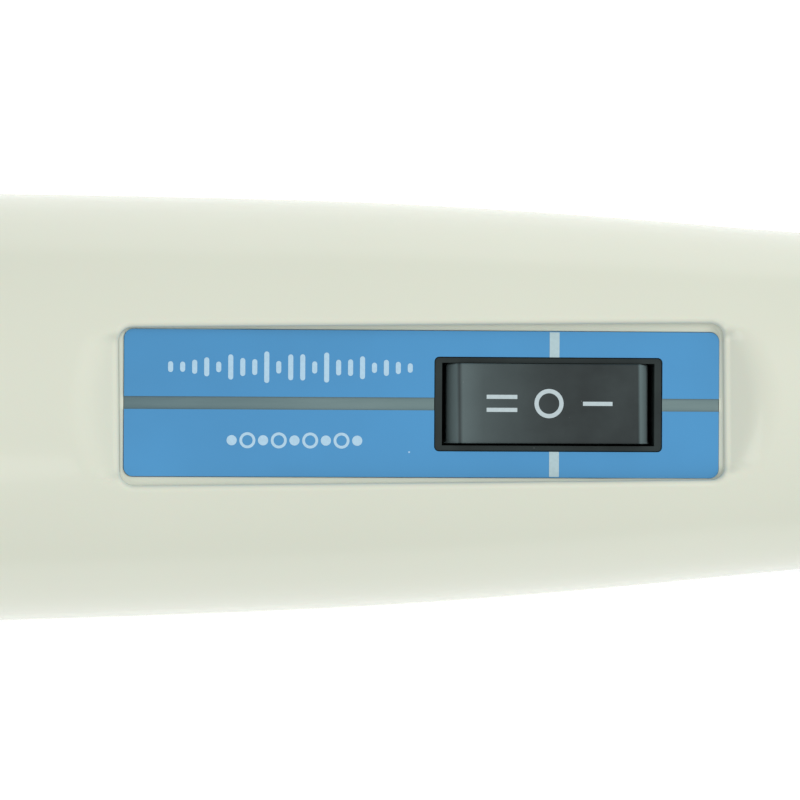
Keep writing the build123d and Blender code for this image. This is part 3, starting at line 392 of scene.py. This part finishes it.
def copper_wire():
    """Enamelled winding wire: close parallel turns with a clear coat, and painted shade in the grooves
    between the turns.
    """
    s = Shader("enamelled_copper", Metallic=1.0, Coat_Weight=0.6, Coat_Roughness=0.12)
    # Painted shade: the colour runs dark where the wave is low, in the grooves between the turns.
    turn_colours_with_painted_shade = [(0.1, (0.25, 0.07, 0.025)), (0.8, (0.80, 0.36, 0.15))]
    turns = s.node("ShaderNodeTexWave", [("Vector", s.stretched(0.25, 1.0, 1.0))])
    turns.inputs["Scale"].default_value = 0.9 / MM
    turns.inputs["Distortion"].default_value = 1.5
    s.set("Base Color", s.ramp(turns.outputs["Fac"], turn_colours_with_painted_shade))
    s.set("Roughness", s.spread(s.noise(1.5, 3), 0.2, 0.35))
    s.set("Normal", s.bump(turns.outputs["Fac"], 0.12, 0.8))
    return s.material


def circuit_green():
    """Green solder mask over faint copper tracks."""
    s = Shader("solder_mask", Coat_Weight=0.5, Coat_Roughness=0.15)
    tracks = s.cells(0.28, "DISTANCE_TO_EDGE")
    s.set("Base Color", s.ramp(tracks, [(0.05, (0.03, 0.26, 0.10)), (0.09, (0.012, 0.13, 0.045))]))
    s.set("Roughness", s.spread(s.noise(1.0, 3), 0.28, 0.4))
    s.set("Normal", s.bump(tracks, 0.03, 0.4))
    return s.material


CREAM = housing_plastic()
BLUE_FILM = film_blue()
BLACK = switch_black("switch_black_plastic", (0.019, 0.028, 0.027))
# Painted light from the switch's middle: painted highlights on the left end slope, the left edge and
# part of the pad, and the right end slope.
ROCKER_PAINTED_LIGHT = [
    (-12.6, 0.55), (-11.2, 0.75), (-10.9, 0.02), (-10.5, 0.55), (-8.0, 0.28),
    (0.0, 0.0), (10.9, 0.0), (11.2, 0.95), (12.0, 0.8), (12.2, 0.1),
]
ROCKER_BLACK = switch_black(
    "rocker_black_plastic_painted_highlights", (0.029, 0.038, 0.038), [(SWITCH_X + s, amount) for s, amount in ROCKER_PAINTED_LIGHT]
)
MARK_INK = ink_white("mark_ink", (0.49, 0.58, 0.60))
LINE_INK = ink_white("line_ink", (0.43, 0.57, 0.60))
FILM_INK = ink_white("film_ink", (0.42, 0.62, 0.76))
BOOT_BLUE = rubbery("blue_boot_rubber", (0.075, 0.255, 0.50), 0.5, 3.0, 0.02)
SOFT_VINYL = rubbery(
    "soft_white_vinyl", (0.735, 0.750, 0.675), 0.52, 2.2, 0.025, sheen=0.12, drift=0.012
)
SPRING_STEEL = metal("spring_steel", (0.42, 0.43, 0.45), 0.3, (1.0, 0.2, 0.2))

SLOT_MATERIALS = {
    "housing_plastic": CREAM,
    "plate_grey": plate_grey(),
    "film_blue": BLUE_FILM,
    "switch_black": BLACK,
    "screw_steel": metal("zinc_plated_steel", (0.60, 0.61, 0.60), 0.3, (1.0, 0.3, 1.0), 0.25),
    "bare_steel": metal("ground_steel", (0.50, 0.51, 0.53), 0.32, (0.04, 1.0, 1.0), 0.2),
    "bearing_steel": metal("polished_steel", (0.74, 0.75, 0.77), 0.12, (1.0, 0.1, 0.1)),
    "brass": metal("satin_brass", (0.72, 0.50, 0.20), 0.3, (0.1, 1.0, 1.0), 0.3),
    "copper": copper_wire(),
    "magnet": metal("sintered_ferrite", (0.10, 0.10, 0.11), 0.55, (1.0, 1.0, 1.0), 0.4),
    "carbon": rubbery("pressed_carbon", (0.025, 0.025, 0.027), 0.6, 5.0, 0.03),
    "inner_plastic": moulded("black_nylon", (0.045, 0.045, 0.05), 0.45, 4.0, 0.012, 0.1),
    "coupling_alloy": metal("turned_aluminium", (0.72, 0.73, 0.74), 0.28, (2.0, 0.05, 0.05)),
    "rubber_black": rubbery("black_rubber", (0.028, 0.029, 0.031), 0.62, 3.5, 0.03),
    "boot_blue": BOOT_BLUE,
    "collar_white": moulded("white_nylon", (0.700, 0.722, 0.640), 0.33, 3.0, 0.004, 0.02, 0.15),
    "cover_soft": SOFT_VINYL,
    "board": circuit_green(),
    "component": moulded("epoxy_component", (0.03, 0.03, 0.034), 0.4, 5.0, 0.01, 0.15),
}

slot_of = {row["node"]: row["material_slot"] for row in frame["record"]["subparts"]}
for name, node in frame["nodes"].items():
    node.data.materials.clear()
    node.data.materials.append(SLOT_MATERIALS[slot_of[name]])


def soften(name, width_mm, segments=3):
    """Rounds the hard edges of a CAD node without touching its mesh."""
    obj = frame["nodes"][name]
    weld = obj.modifiers.new("weld", "WELD")
    weld.merge_threshold = 1e-6
    bevel = obj.modifiers.new("edges", "BEVEL")
    bevel.width = width_mm * MM
    bevel.segments = segments
    bevel.limit_method = "ANGLE"
    bevel.angle_limit = math.radians(35)
    bevel.harden_normals = True


EDGE_ROUNDS = {
    "switch_body": 0.22, "face_plate": 0.12, "label_upper": 0.06, "label_lower": 0.06,
    "cord_gland": 0.3, "neck_collar": 0.2,
}
for name, width in EDGE_ROUNDS.items():
    soften(name, width)


# ------------------------------------------------------------------ front half of the handle
def half_width(x):
    """Half width of the handle at x, a smooth curve through the stations."""
    slopes = np.gradient(HALF_WIDTHS, WIDTH_STATIONS)
    k = int(np.clip(np.searchsorted(WIDTH_STATIONS, x) - 1, 0, len(WIDTH_STATIONS) - 2))
    step = WIDTH_STATIONS[k + 1] - WIDTH_STATIONS[k]
    t = (x - WIDTH_STATIONS[k]) / step
    return float(
        (2 * t**3 - 3 * t**2 + 1) * HALF_WIDTHS[k] + (t**3 - 2 * t**2 + t) * step * slopes[k]
        + (3 * t**2 - 2 * t**3) * HALF_WIDTHS[k + 1] + (t**3 - t**2) * step * slopes[k + 1]
    )


TAIL_STEPS, NOSE_STEPS = 14, 6
STEPS_BEFORE, STEPS_BESIDE, STEPS_AFTER = 39, 78, 5    # rows before, beside and after the pocket
SIDE_STEPS, TOP_STEPS = 22, 32


def shell_rows():
    """Rows along the handle: (x, outer radius, inner x, inner radius), from the gland to the neck.

    The tail's round is one arc that meets the handle's widening side at a tangent.
    """
    inner_tail = TAIL_X + WALL
    centre = TAIL_X + TAIL_ROUND
    slope = math.atan(half_width(centre) - half_width(centre - 1))
    end_radius = half_width(centre) - TAIL_ROUND / math.cos(slope)
    rows = [(TAIL_X, r, inner_tail, r) for r in (GLAND_HOLE, (GLAND_HOLE + end_radius) / 2)]
    for turn in np.linspace(0, math.pi / 2 - slope, TAIL_STEPS + 1):
        x = centre - TAIL_ROUND * math.cos(turn)
        inner_x = centre - (TAIL_ROUND - WALL) * math.cos(turn)
        rows.append((
            x, end_radius + TAIL_ROUND * math.sin(turn),
            inner_x, end_radius + (TAIL_ROUND - WALL) * math.sin(turn),
        ))
    nose_start = NOSE_X - NOSE_ROUND
    before = np.linspace(rows[-1][0], PATCH_X[0], STEPS_BEFORE + 1)[1:]
    beside = np.linspace(*PATCH_X, STEPS_BESIDE + 1)[1:]
    after = np.linspace(PATCH_X[1], nose_start, STEPS_AFTER + 1)[1:]
    inner_end = NOSE_X - NOSE_WALL
    for x in (*before, *beside, *after):
        # the inner rows crowd together before the nose's wall, so that they never pass it
        inner_x = min(x, inner_end - 1 + 0.1 * (x - inner_end))
        rows.append((x, half_width(x), inner_x, half_width(inner_x) - WALL))
    inner_x = rows[-1][2]
    for k, turn in enumerate(np.radians(np.linspace(0, 90, NOSE_STEPS + 1))[1:], 1):
        x = nose_start + NOSE_ROUND * math.sin(turn)
        deep = inner_x + (inner_end - inner_x) * k / NOSE_STEPS
        radius = half_width(x) - NOSE_ROUND * (1 - math.cos(turn))
        rows.append((x, radius, deep, half_width(deep) - WALL))
    last_outer, last_inner = rows[-1][1], rows[-1][3]
    for part in (0.5, 1.0):
        rows.append((NOSE_X, last_outer + (COLLAR_HOLE - last_outer) * part,
                     inner_end, last_inner + (COLLAR_HOLE - last_inner) * part))
    return rows


def columns(x):
    """Share of the half width, from +1 at one seam to -1 at the other, of each lengthwise line."""
    width = half_width(x)
    edge = math.acos(PATCH_Y / width)
    rim = SEAM_GROOVE / width
    side = [1.0] + [math.cos(rim + (edge - rim) * k / SIDE_STEPS) for k in range(SIDE_STEPS)]
    top = [PATCH_Y / width * (1 - 2 * k / TOP_STEPS) for k in range(TOP_STEPS + 1)]
    return side + top + [-u for u in reversed(side)]


def rounded_outline(half, corner, steps_x, steps_y, centre=0.0, bend=4):
    """A rounded rectangle as (s, y) points, in step with the patch's rim: +y side first, then clockwise.

    Each side begins and ends in the middle of a corner, with bend steps in either half corner.
    """
    length, width = half
    points = []
    for side, steps in enumerate((steps_x, steps_y, steps_x, steps_y)):
        reach, other = (length, width) if side % 2 == 0 else (width, length)
        run = reach - corner
        for k in range(steps):
            if k < bend:
                turn = math.radians(45 * (1 - k / bend))
                u, v = -run - corner * math.sin(turn), other - corner + corner * math.cos(turn)
            elif k > steps - bend:
                turn = math.radians(45 * (1 - (steps - k) / bend))
                u, v = run + corner * math.sin(turn), other - corner + corner * math.cos(turn)
            else:
                u, v = -run + 2 * run * (k - bend) / (steps - 2 * bend), other
            points.append([(u, v), (v, -u), (-u, -v), (-v, u)][side])
    return [(s + centre, y) for s, y in points]


def crown(x, y, inset=0.0):
    """Height of the handle's round top at x, y."""
    radius = half_width(x) - inset
    return AXIS_Z + math.sqrt(max(radius * radius - y * y, 1.0))


def soft_top(x, y):
    """Height of the top with the scoops at both ends of the pocket."""
    s = (x - FACE_X) / math.cos(LEAN)
    rise = SCOOP_LIP + SCOOP_SLOPE * (abs(s) - POCKET_HALF[0])
    rise += SCOOP_FLARE * max(0.0, abs(y) - (POCKET_HALF[1] - SCOOP_BORDER)) ** 2
    if abs(s) < POCKET_HALF[0] - SCOOP_OVERLAP:
        return crown(x, y)
    ramp = AXIS_Z + FACE_HEIGHT - s * math.sin(LEAN) + rise * math.cos(LEAN)
    return soft_min(crown(x, y), ramp, SCOOP_BLEND)


def outline_distance(s, y, half, corner):
    """Distance from a rounded rectangle, negative inside it."""
    a, b = abs(s) - half[0] + corner, abs(y) - half[1] + corner
    return math.hypot(max(a, 0), max(b, 0)) + min(max(a, b), 0) - corner


def inner_top(x, y):
    """Height of the inner skin: the round inside, pressed down under the pocket."""
    s = (x - FACE_X) / math.cos(LEAN)
    half = POCKET_HALF[0] + WALL, POCKET_HALF[1] + WALL
    outside = outline_distance(s, y, half, POCKET_CORNER + WALL)
    depth = PLATE_THICK + POCKET_FLOOR - INNER_SLOPE * max(0.0, outside)
    under = AXIS_Z + FACE_HEIGHT - s * math.sin(LEAN) - depth * math.cos(LEAN)
    return soft_min(crown(x, y, WALL), under, INNER_BLEND)


def on_top(s, y):
    """Height h over the face plane at which the outside's top lies above (s, y)."""
    h = 0.0
    for _ in range(4):
        p = POCKET.point(s, y, h)
        h += (soft_top(p.x, p.y) - p.z) / math.cos(LEAN)
    return h


def switch_opening(height, steps_x, steps_y):
    """The opening for the switch as a ring of points."""
    outline = rounded_outline(OPENING_HALF, OPENING_CORNER, steps_x, steps_y, SWITCH_S)
    return [PLATE.point(s, y, height) for s, y in outline]


SPREAD_RINGS, SPREAD_POWER = 24, 1.25   # rings from the patch's rim to the lip, closer at the lip


def pocket_rings(rim, steps_x, steps_y):
    """Rings of points from the patch's rim over the lip and down the wall, to the switch's opening."""
    def outline(grow):
        half = POCKET_HALF[0] + grow, POCKET_HALF[1] + grow
        return rounded_outline(half, POCKET_CORNER + grow, steps_x, steps_y)

    rings = []
    lip = outline(LIP_RADIUS)
    lip_heights = [on_top(s, y) for s, y in lip]
    lip_points = [POCKET.point(s, y, h) for (s, y), h in zip(lip, lip_heights)]
    for k in range(1, SPREAD_RINGS):
        part = 1 - (1 - k / SPREAD_RINGS) ** SPREAD_POWER
        ring = []
        for a, b in zip(rim, lip_points):
            x, y = a.x + (b.x - a.x) * part, a.y + (b.y - a.y) * part
            ring.append(Vector((x, y, soft_top(x, y))))
        rings.append(ring)
    rings.append(lip_points)
    for turn in np.radians((18, 36, 54, 72, 90)):
        edge = outline(LIP_RADIUS * (1 - math.sin(turn)))
        drop = LIP_RADIUS * (1 - math.cos(turn))
        rings.append([POCKET.point(s, y, h - drop) for (s, y), h in zip(edge, lip_heights)])
    wall = outline(0)
    rings.append([
        POCKET.point(s, y, (h - LIP_RADIUS - LEDGE_DEPTH + FOOT_RADIUS) / 2)
        for (s, y), h in zip(wall, lip_heights)
    ])
    for turn in np.radians((0, 45, 90)):
        edge = outline(-FOOT_RADIUS * (1 - math.cos(turn)))
        height = -LEDGE_DEPTH + FOOT_RADIUS * (1 - math.sin(turn))
        rings.append([POCKET.point(s, y, height) for s, y in edge])
    seat_half = PLATE_LENGTH / 2 + PLATE_ROOM, PLATE_WIDTH / 2 + PLATE_ROOM
    seat = rounded_outline(seat_half, PLATE_CORNER + PLATE_ROOM, steps_x, steps_y)
    for height in (-LEDGE_DEPTH, SEAT_FLOOR):
        rings.append([PLATE.point(s, y, height) for s, y in seat])
    floor = rings[-1]
    opening = switch_opening(SEAT_FLOOR, steps_x, steps_y)
    for part in (0.25, 0.6, 1.0):
        rings.append([a.lerp(b, part) for a, b in zip(floor, opening)])
    return rings


def inner_rings(rim, count, steps_x, steps_y):
    """The inner skin's rings, in step with pocket_rings."""
    opening = switch_opening(-PLATE_THICK - POCKET_FLOOR, steps_x, steps_y)
    rings = []
    for k in range(1, count + 1):
        part = k / count
        ring = []
        for a, b in zip(rim, opening):
            x, y = a.x + (b.x - a.x) * part, a.y + (b.y - a.y) * part
            ring.append(Vector((x, y, inner_top(x, y) if k < count else b.z)))
        rings.append(ring)
    return rings


def front_shell():
    """The handle's front half: a grid of rows and columns, with the pocket's rings in the patch."""
    rows = shell_rows()
    first = min(range(len(rows)), key=lambda i: abs(rows[i][0] - PATCH_X[0]))
    last = min(range(len(rows)), key=lambda i: abs(rows[i][0] - PATCH_X[1]))
    left = SIDE_STEPS + 1
    right = left + TOP_STEPS
    outer, inner, grid = [], [], {}
    for i, (x, radius, inner_x, inner_radius) in enumerate(rows):
        shares = columns(x)
        for j, u in enumerate(shares):
            if first < i < last and left < j < right:
                continue
            grid[i, j] = len(outer)
            groove = SEAM_GROOVE if j in (0, len(shares) - 1) else 0
            up = math.sqrt(max(0.0, 1 - u * u))
            outer.append(Vector((x, u * (radius - groove), AXIS_Z + radius * up)))
            inner.append(Vector((inner_x, u * inner_radius, AXIS_Z + inner_radius * up)))
    final = len(columns(rows[0][0])) - 1
    faces = []
    for i in range(len(rows) - 1):
        for j in range(final):
            if first <= i < last and left <= j < right:
                continue
            faces.append((grid[i, j], grid[i + 1, j], grid[i + 1, j + 1], grid[i, j + 1]))
    steps_x, steps_y = last - first, TOP_STEPS
    loop = [grid[first + k, left] for k in range(steps_x)]
    loop += [grid[last, left + k] for k in range(steps_y)]
    loop += [grid[last - k, right] for k in range(steps_x)]
    loop += [grid[first, right - k] for k in range(steps_y)]
    rings = pocket_rings([outer[i] for i in loop], steps_x, steps_y)
    inner_side = inner_rings([inner[i] for i in loop], len(rings), steps_x, steps_y)
    previous = loop
    for ring, inner_ring in zip(rings, inner_side):
        current = list(range(len(outer), len(outer) + len(ring)))
        outer += ring
        inner += inner_ring
        for k in range(len(ring)):
            n = (k + 1) % len(ring)
            faces.append((previous[k], previous[n], current[n], current[k]))
        previous = current
    count = len(outer)
    skins = faces + [tuple(i + count for i in reversed(face)) for face in faces]
    borders = [[grid[i, j] for i in range(len(rows))] for j in (0, final)]
    borders += [[grid[i, j] for j in range(final + 1)] for i in (0, len(rows) - 1)]
    borders.append(previous + previous[:1])
    for border in borders:
        skins += [(a, b, b + count, a + count) for a, b in zip(border, border[1:])]
    return new_piece("front_shell", outer + inner, skins, CREAM, "handle", sharp=50)


shell = front_shell()
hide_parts("front_housing")


# ------------------------------------------------------------------ rocker
ROCKER_HALF_WIDTH = 4.85
ROCKER_PAD_HALF, ROCKER_PROUD, ROCKER_DISH = 10.9, 0.9, 0.25
ROCKER_REACH = 12.4
ROCKER_FLANK = [(ROCKER_REACH, -1.3), (ROCKER_REACH, -3.0), (4.5, -6.0)]    # its end below the pad
ROCKER_SHIFT = 0.12                 # the rocker rests against one side of its frame
PAD_ROUND, END_ROUND, RIM_ROUND = 0.55, 0.25, 0.28


def pad_height(s):
    """Height of the dished pad over the face."""
    return ROCKER_PROUD - ROCKER_DISH * (1 - (s / ROCKER_PAD_HALF) ** 2)


def rocker_cap():
    """The rocker: a dished pad with sloped ends, all its edges rounded."""
    top = [(s, pad_height(s)) for s in np.linspace(-ROCKER_PAD_HALF, ROCKER_PAD_HALF, 25)]
    profile = top + ROCKER_FLANK + [(-s, h) for s, h in reversed(ROCKER_FLANK)]
    bm = bmesh.new()
    sides = []
    for y in (-ROCKER_HALF_WIDTH, ROCKER_HALF_WIDTH):
        sides.append([
            bm.verts.new(PLATE.point(SWITCH_S + s, y + ROCKER_SHIFT, h) * MM) for s, h in profile
        ])
    caps = [bm.faces.new(side) for side in sides]
    for k in range(len(profile)):
        n = (k + 1) % len(profile)
        bm.faces.new((sides[0][k], sides[0][n], sides[1][n], sides[1][k]))
    corners = [bm.edges.get((sides[0][k], sides[1][k])) for k in (0, len(top) - 1)]
    bmesh.ops.bevel(bm, geom=corners, offset=PAD_ROUND * MM, segments=5, profile=0.5, affect="EDGES")
    across = [e for e in bm.edges if e.calc_length() > 9 * MM and not set(e.link_faces) & set(caps)]
    ends = [e for e in across if e.calc_face_angle(0) > math.radians(25)]
    bmesh.ops.bevel(bm, geom=ends, offset=END_ROUND * MM, segments=3, profile=0.5, affect="EDGES")
    rims = [e for f in bm.faces if len(f.verts) > 12 for e in f.edges]
    bmesh.ops.bevel(bm, geom=rims, offset=RIM_ROUND * MM, segments=4, profile=0.5, affect="EDGES")
    return from_bmesh("rocker_cap", bm, ROCKER_BLACK, "rocker", sharp=35)


cap = rocker_cap()
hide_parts("rocker")


# ------------------------------------------------------------------ printed marks
PRINT_THICK = 0.025
MARK_LINE = 0.5                                     # width of the bars on the rocker
HIGH_S, HIGH_LENGTH, HIGH_Y = -5.75, 3.75, 0.79     # its two bars, from the switch's middle
LOW_S, LOW_LENGTH = 5.95, 3.6
OFF_OUTER, OFF_INNER = 1.78, 1.26                   # radii of its ring

INDEX_S, INDEX_WIDTH = 16.0, 1.2                    # pale line across the films, broken by the switch
INDEX_END, INDEX_START = PLATE_WIDTH / 2 - 0.1, 5.75
BAR_COUNT, BAR_PITCH, BAR_START, BAR_Y = 21, 1.45, -30.6, 4.35
BAR_WIDTH, BAR_SHORTEST = 0.62, 0.9
DOT_COUNT, DOT_PITCH, DOT_START, DOT_Y = 9, 1.9, -23.2, -4.5
DOT_RADIUS, RING_EXTRA, RING_LINE = 0.62, 0.35, 0.34


def slab(bm, outline, place, top, hole=None):
    """A thin printed patch: outline and hole are (s, y) loops, place turns s, y, h into a point."""
    def layer_of_points(drop):
        return [[bm.verts.new(place(s, y, top(s) - drop) * MM) for s, y in loop] for loop in loops]

    loops = [outline] if hole is None else [outline, hole]
    upper = layer_of_points(0)
    lower = layer_of_points(2 * PRINT_THICK)
    for high, low in zip(upper, lower):
        for k in range(len(high)):
            n = (k + 1) % len(high)
            bm.faces.new((high[k], high[n], low[n], low[k]))
    for layer in (upper, lower):
        if hole is None:
            bm.faces.new(layer[0])
        else:
            for k in range(len(outline)):
                n = (k + 1) % len(outline)
                bm.faces.new((layer[0][k], layer[0][n], layer[1][n], layer[1][k]))


def bar(s, y, length, width, steps=8):
    """A plain bar's outline, long in s, cut into short steps so that it can follow a hollow."""
    near = [(s - length / 2 + length * k / steps, y - width / 2) for k in range(steps + 1)]
    return near + [(a, b + width) for a, b in reversed(near)]


def capsule(s, y, length, width, steps=8):
    """A bar with round ends, long in y."""
    reach = (length - width) / 2
    upper = arc(s, y + reach, width / 2, width / 2, 0, 180, steps)
    return upper + arc(s, y - reach, width / 2, width / 2, 180, 360, steps)


def circle(s, y, radius, steps=48):
    return arc(s, y, radius, radius, 0, 360, steps + 1)[:-1]


def rocker_marks():
    """The usual marks for high, off and low: two bars, a ring and one bar."""
    bm = bmesh.new()

    def top(s):
        return pad_height(s - SWITCH_S) + PRINT_THICK

    def place(s, y, h):
        return PLATE.point(s, y + ROCKER_SHIFT, h)

    for y in (-HIGH_Y, HIGH_Y):
        slab(bm, bar(SWITCH_S + HIGH_S, y, HIGH_LENGTH, MARK_LINE), place, top)
    slab(bm, bar(SWITCH_S + LOW_S, 0, LOW_LENGTH, MARK_LINE), place, top)
    slab(bm, circle(SWITCH_S, 0, OFF_OUTER), place, top, circle(SWITCH_S, 0, OFF_INNER))
    from_bmesh("rocker_marks", bm, MARK_INK, "rocker")


def film_top(_):
    """Top of the printing on the films, the same all along them."""
    return FILM_TOP + PRINT_THICK


def index_line():
    """The pale line across both films."""
    bm = bmesh.new()
    for side in (-1, 1):
        middle = side * (INDEX_END + INDEX_START) / 2
        slab(bm, bar(INDEX_S, middle, INDEX_WIDTH, INDEX_END - INDEX_START, 2), PLATE.point, film_top)
    from_bmesh("index_line", bm, LINE_INK, "handle")


def film_ornament():
    """Two generic rows: bars whose heights swell and fall, and dots between rings."""
    bm = bmesh.new()
    for k in range(BAR_COUNT):
        swell = math.sin(math.pi * (k + 0.5) / BAR_COUNT)
        length = 1.1 + 2.9 * swell * (0.55 + 0.45 * math.cos(math.radians(137) * k))
        outline = capsule(BAR_START + BAR_PITCH * k, BAR_Y, max(length, BAR_SHORTEST), BAR_WIDTH)
        slab(bm, outline, PLATE.point, film_top)
    for k in range(DOT_COUNT):
        s = DOT_START + DOT_PITCH * k
        radius = DOT_RADIUS + RING_EXTRA * (k % 2)
        hole = circle(s, DOT_Y, radius - RING_LINE) if k % 2 else None
        slab(bm, circle(s, DOT_Y, radius), PLATE.point, film_top, hole)
    from_bmesh("film_ornament", bm, FILM_INK, "handle")


rocker_marks()
index_line()
film_ornament()


# ------------------------------------------------------------------ neck
BOOT_ENDS = (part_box("neck_boot")[0].x / MM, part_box("neck_boot")[1].x / MM)
BOOT_MIDDLE = sum(BOOT_ENDS) / 2
BOOT_RIBS, BOOT_WALL = 5, 1.8
BOOT_BASE, BOOT_RIB = 15.0, 1.3
RIB_SHARPNESS = 0.8


def boot_radius(x):
    """Outer radius of the ribbed boot at x."""
    turn = 2 * math.pi * BOOT_RIBS * (x - BOOT_ENDS[0]) / (BOOT_ENDS[1] - BOOT_ENDS[0])
    return BOOT_BASE + BOOT_RIB * (0.5 - 0.5 * math.cos(turn)) ** RIB_SHARPNESS


def boot_half(name, x0, x1):
    """Half of the ribbed rubber boot, from x0 to x1."""
    xs = np.linspace(x0, x1, 61)
    outside = [(x, boot_radius(x)) for x in xs]
    inside = [(x, boot_radius(x) - BOOT_WALL) for x in xs[::-1]]
    points, faces = revolved(outside + inside, 120, closed=True)
    half = new_piece(name, points, faces, BOOT_BLUE, None)
    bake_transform(half)
    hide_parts("neck_boot")


boot_half("neck_boot_lower", BOOT_ENDS[0], BOOT_MIDDLE)
boot_half("neck_boot_upper", BOOT_MIDDLE, BOOT_ENDS[1])

SPRING_ENDS = (70.0, 96.0)
SPRING_RADIUS, SPRING_WIRE, SPRING_TURNS = 9.2, 1.25, 6


def spring_half(name, x0, x1):
    """Half of the neck's round-wire spring, from x0 to x1."""
    rounds, around = 150, 14
    points, faces = [], []
    for k in range(rounds + 1):
        x = x0 + (x1 - x0) * k / rounds
        turn = 2 * math.pi * SPRING_TURNS * (x - SPRING_ENDS[0]) / (SPRING_ENDS[1] - SPRING_ENDS[0])
        out = Vector((0, math.cos(turn), math.sin(turn)))
        centre = Vector((x, 0, AXIS_Z)) + out * SPRING_RADIUS
        for m in range(around):
            a = 2 * math.pi * m / around
            points.append(centre + (out * math.cos(a) + Vector((math.sin(a), 0, 0))) * SPRING_WIRE)
    for k in range(rounds):
        for m in range(around):
            n = (m + 1) % around
            faces.append((k * around + m, k * around + n, (k + 1) * around + n, (k + 1) * around + m))
    faces.append(tuple(range(around)))
    faces.append(tuple(rounds * around + m for m in range(around)))
    half = new_piece(name, points, faces, SPRING_STEEL, None)
    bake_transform(half)
    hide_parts("neck_spring")


spring_half("neck_spring_lower", SPRING_ENDS[0], BOOT_MIDDLE)
spring_half("neck_spring_upper", BOOT_MIDDLE, SPRING_ENDS[1])


# ------------------------------------------------------------------ head
def head_cushion():
    """The soft cover: a rolled lip at the neck, a round shoulder, a straight band and a domed end."""
    lip_x, lip_radius, neck_radius = 93.0, 18.0, 15.65
    band = (111.5, 136.0)
    end_x = CAD_BOX[1].x / MM
    radius = AXIS_Z                 # the band rests on the floor
    core_radius, core = 24.5, (97.8, 143.0)
    roll = 0.9
    profile = [(end_x, 0.0)]
    profile += arc(band[1], 0, end_x - band[1], radius, 0, 90, 40)[1:]
    profile += [(x, radius) for x in np.linspace(band[1], band[0], 12)[1:]]
    profile += arc(band[0], lip_radius, band[0] - lip_x - 0.2, radius - lip_radius, 90, 178, 30)[1:]
    profile += arc(lip_x + roll, lip_radius - roll, roll, roll, 150, 180, 4)
    profile += arc(lip_x + roll, neck_radius + roll, roll, roll, 180, 270, 8)[1:]
    profile += [(core[0], neck_radius), (core[0], core_radius), (core[1], core_radius), (core[1], 0.0)]
    points, faces = revolved(profile, 144, closed=False)
    cushion = new_piece("head_cushion", points, faces, SOFT_VINYL, "head", sharp=60)
    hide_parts("head_cover")


head_cushion()


# ------------------------------------------------------------------ floor, light and camera, in metres
FLOOR_HALF, FLOOR_DROP, FLOOR_GLOW = 3.0, 0.0002, 0.32
SKY_COLOR, SKY_STRENGTH = (0.97, 0.985, 1.0, 1), 0.62
CAMERA_X, CAMERA_Y, CAMERA_HEIGHT = 0.0112, 0.0005, 0.4     # the height is over the wand's axis
CAMERA_ROLL = math.radians(-0.45)
LENS_MM = 140.4


def floor_material():
    s = Shader("white_sweep", Roughness=0.6)
    s.set("Base Color", s.ramp(s.noise(0.02, 2), [(0.3, (0.90, 0.90, 0.90)), (0.7, (0.92, 0.92, 0.92))]))
    s.bsdf.inputs["Emission Color"].default_value = (1, 1, 1, 1)
    s.bsdf.inputs["Emission Strength"].default_value = FLOOR_GLOW
    return s.material


def build_stage():
    bm = bmesh.new()
    bmesh.ops.create_grid(bm, x_segments=8, y_segments=8, size=FLOOR_HALF)
    mesh = bpy.data.meshes.new("floor")
    bm.to_mesh(mesh)
    bm.free()
    floor = bpy.data.objects.new("floor", mesh)
    floor.location.z = -FLOOR_DROP
    floor.data.materials.append(floor_material())
    bpy.context.scene.collection.objects.link(floor)


def area_light(name, place, target, size, power, mirrored):
    """A soft light; one that is not mirrored leaves no reflection on glossy pieces."""
    data = bpy.data.lights.new(name, "AREA")
    data.shape = "RECTANGLE"
    data.size, data.size_y = size
    data.energy = power
    light = bpy.data.objects.new(name, data)
    light.location = place
    light.rotation_euler = (Vector(target) - Vector(place)).to_track_quat("-Z", "Y").to_euler()
    light.visible_glossy = mirrored
    bpy.context.scene.collection.objects.link(light)


def build_lights():
    world = bpy.data.worlds.new("studio")
    world.use_nodes = True
    sky = world.node_tree.nodes["Background"]
    sky.inputs["Color"].default_value = SKY_COLOR
    sky.inputs["Strength"].default_value = SKY_STRENGTH
    bpy.context.scene.world = world
    centre = (0.0, 0.0, AXIS_Z * MM)
    area_light("key", (0.55, 0.30, 0.85), centre, size=(0.9, 0.7), power=4.9, mirrored=False)
    area_light("fill", (-0.5, -0.5, 0.75), centre, size=(0.8, 0.8), power=2.0, mirrored=True)


def build_camera():
    """Looks straight down on the switch face, through a long lens."""
    data = bpy.data.cameras.new("camera")
    data.sensor_width = 36.0
    data.lens = LENS_MM
    data.clip_start = 0.02
    camera = bpy.data.objects.new("camera", data)
    camera.location = (CAMERA_X, CAMERA_Y, CAMERA_HEIGHT + AXIS_Z * MM)
    camera.rotation_euler = (0, 0, CAMERA_ROLL)
    bpy.context.scene.collection.objects.link(camera)
    bpy.context.scene.camera = camera


build_stage()
build_lights()
build_camera()
bpy.context.scene.view_settings.view_transform = "Standard"


def corners(box):
    return [list(box[0]), list(box[1])]
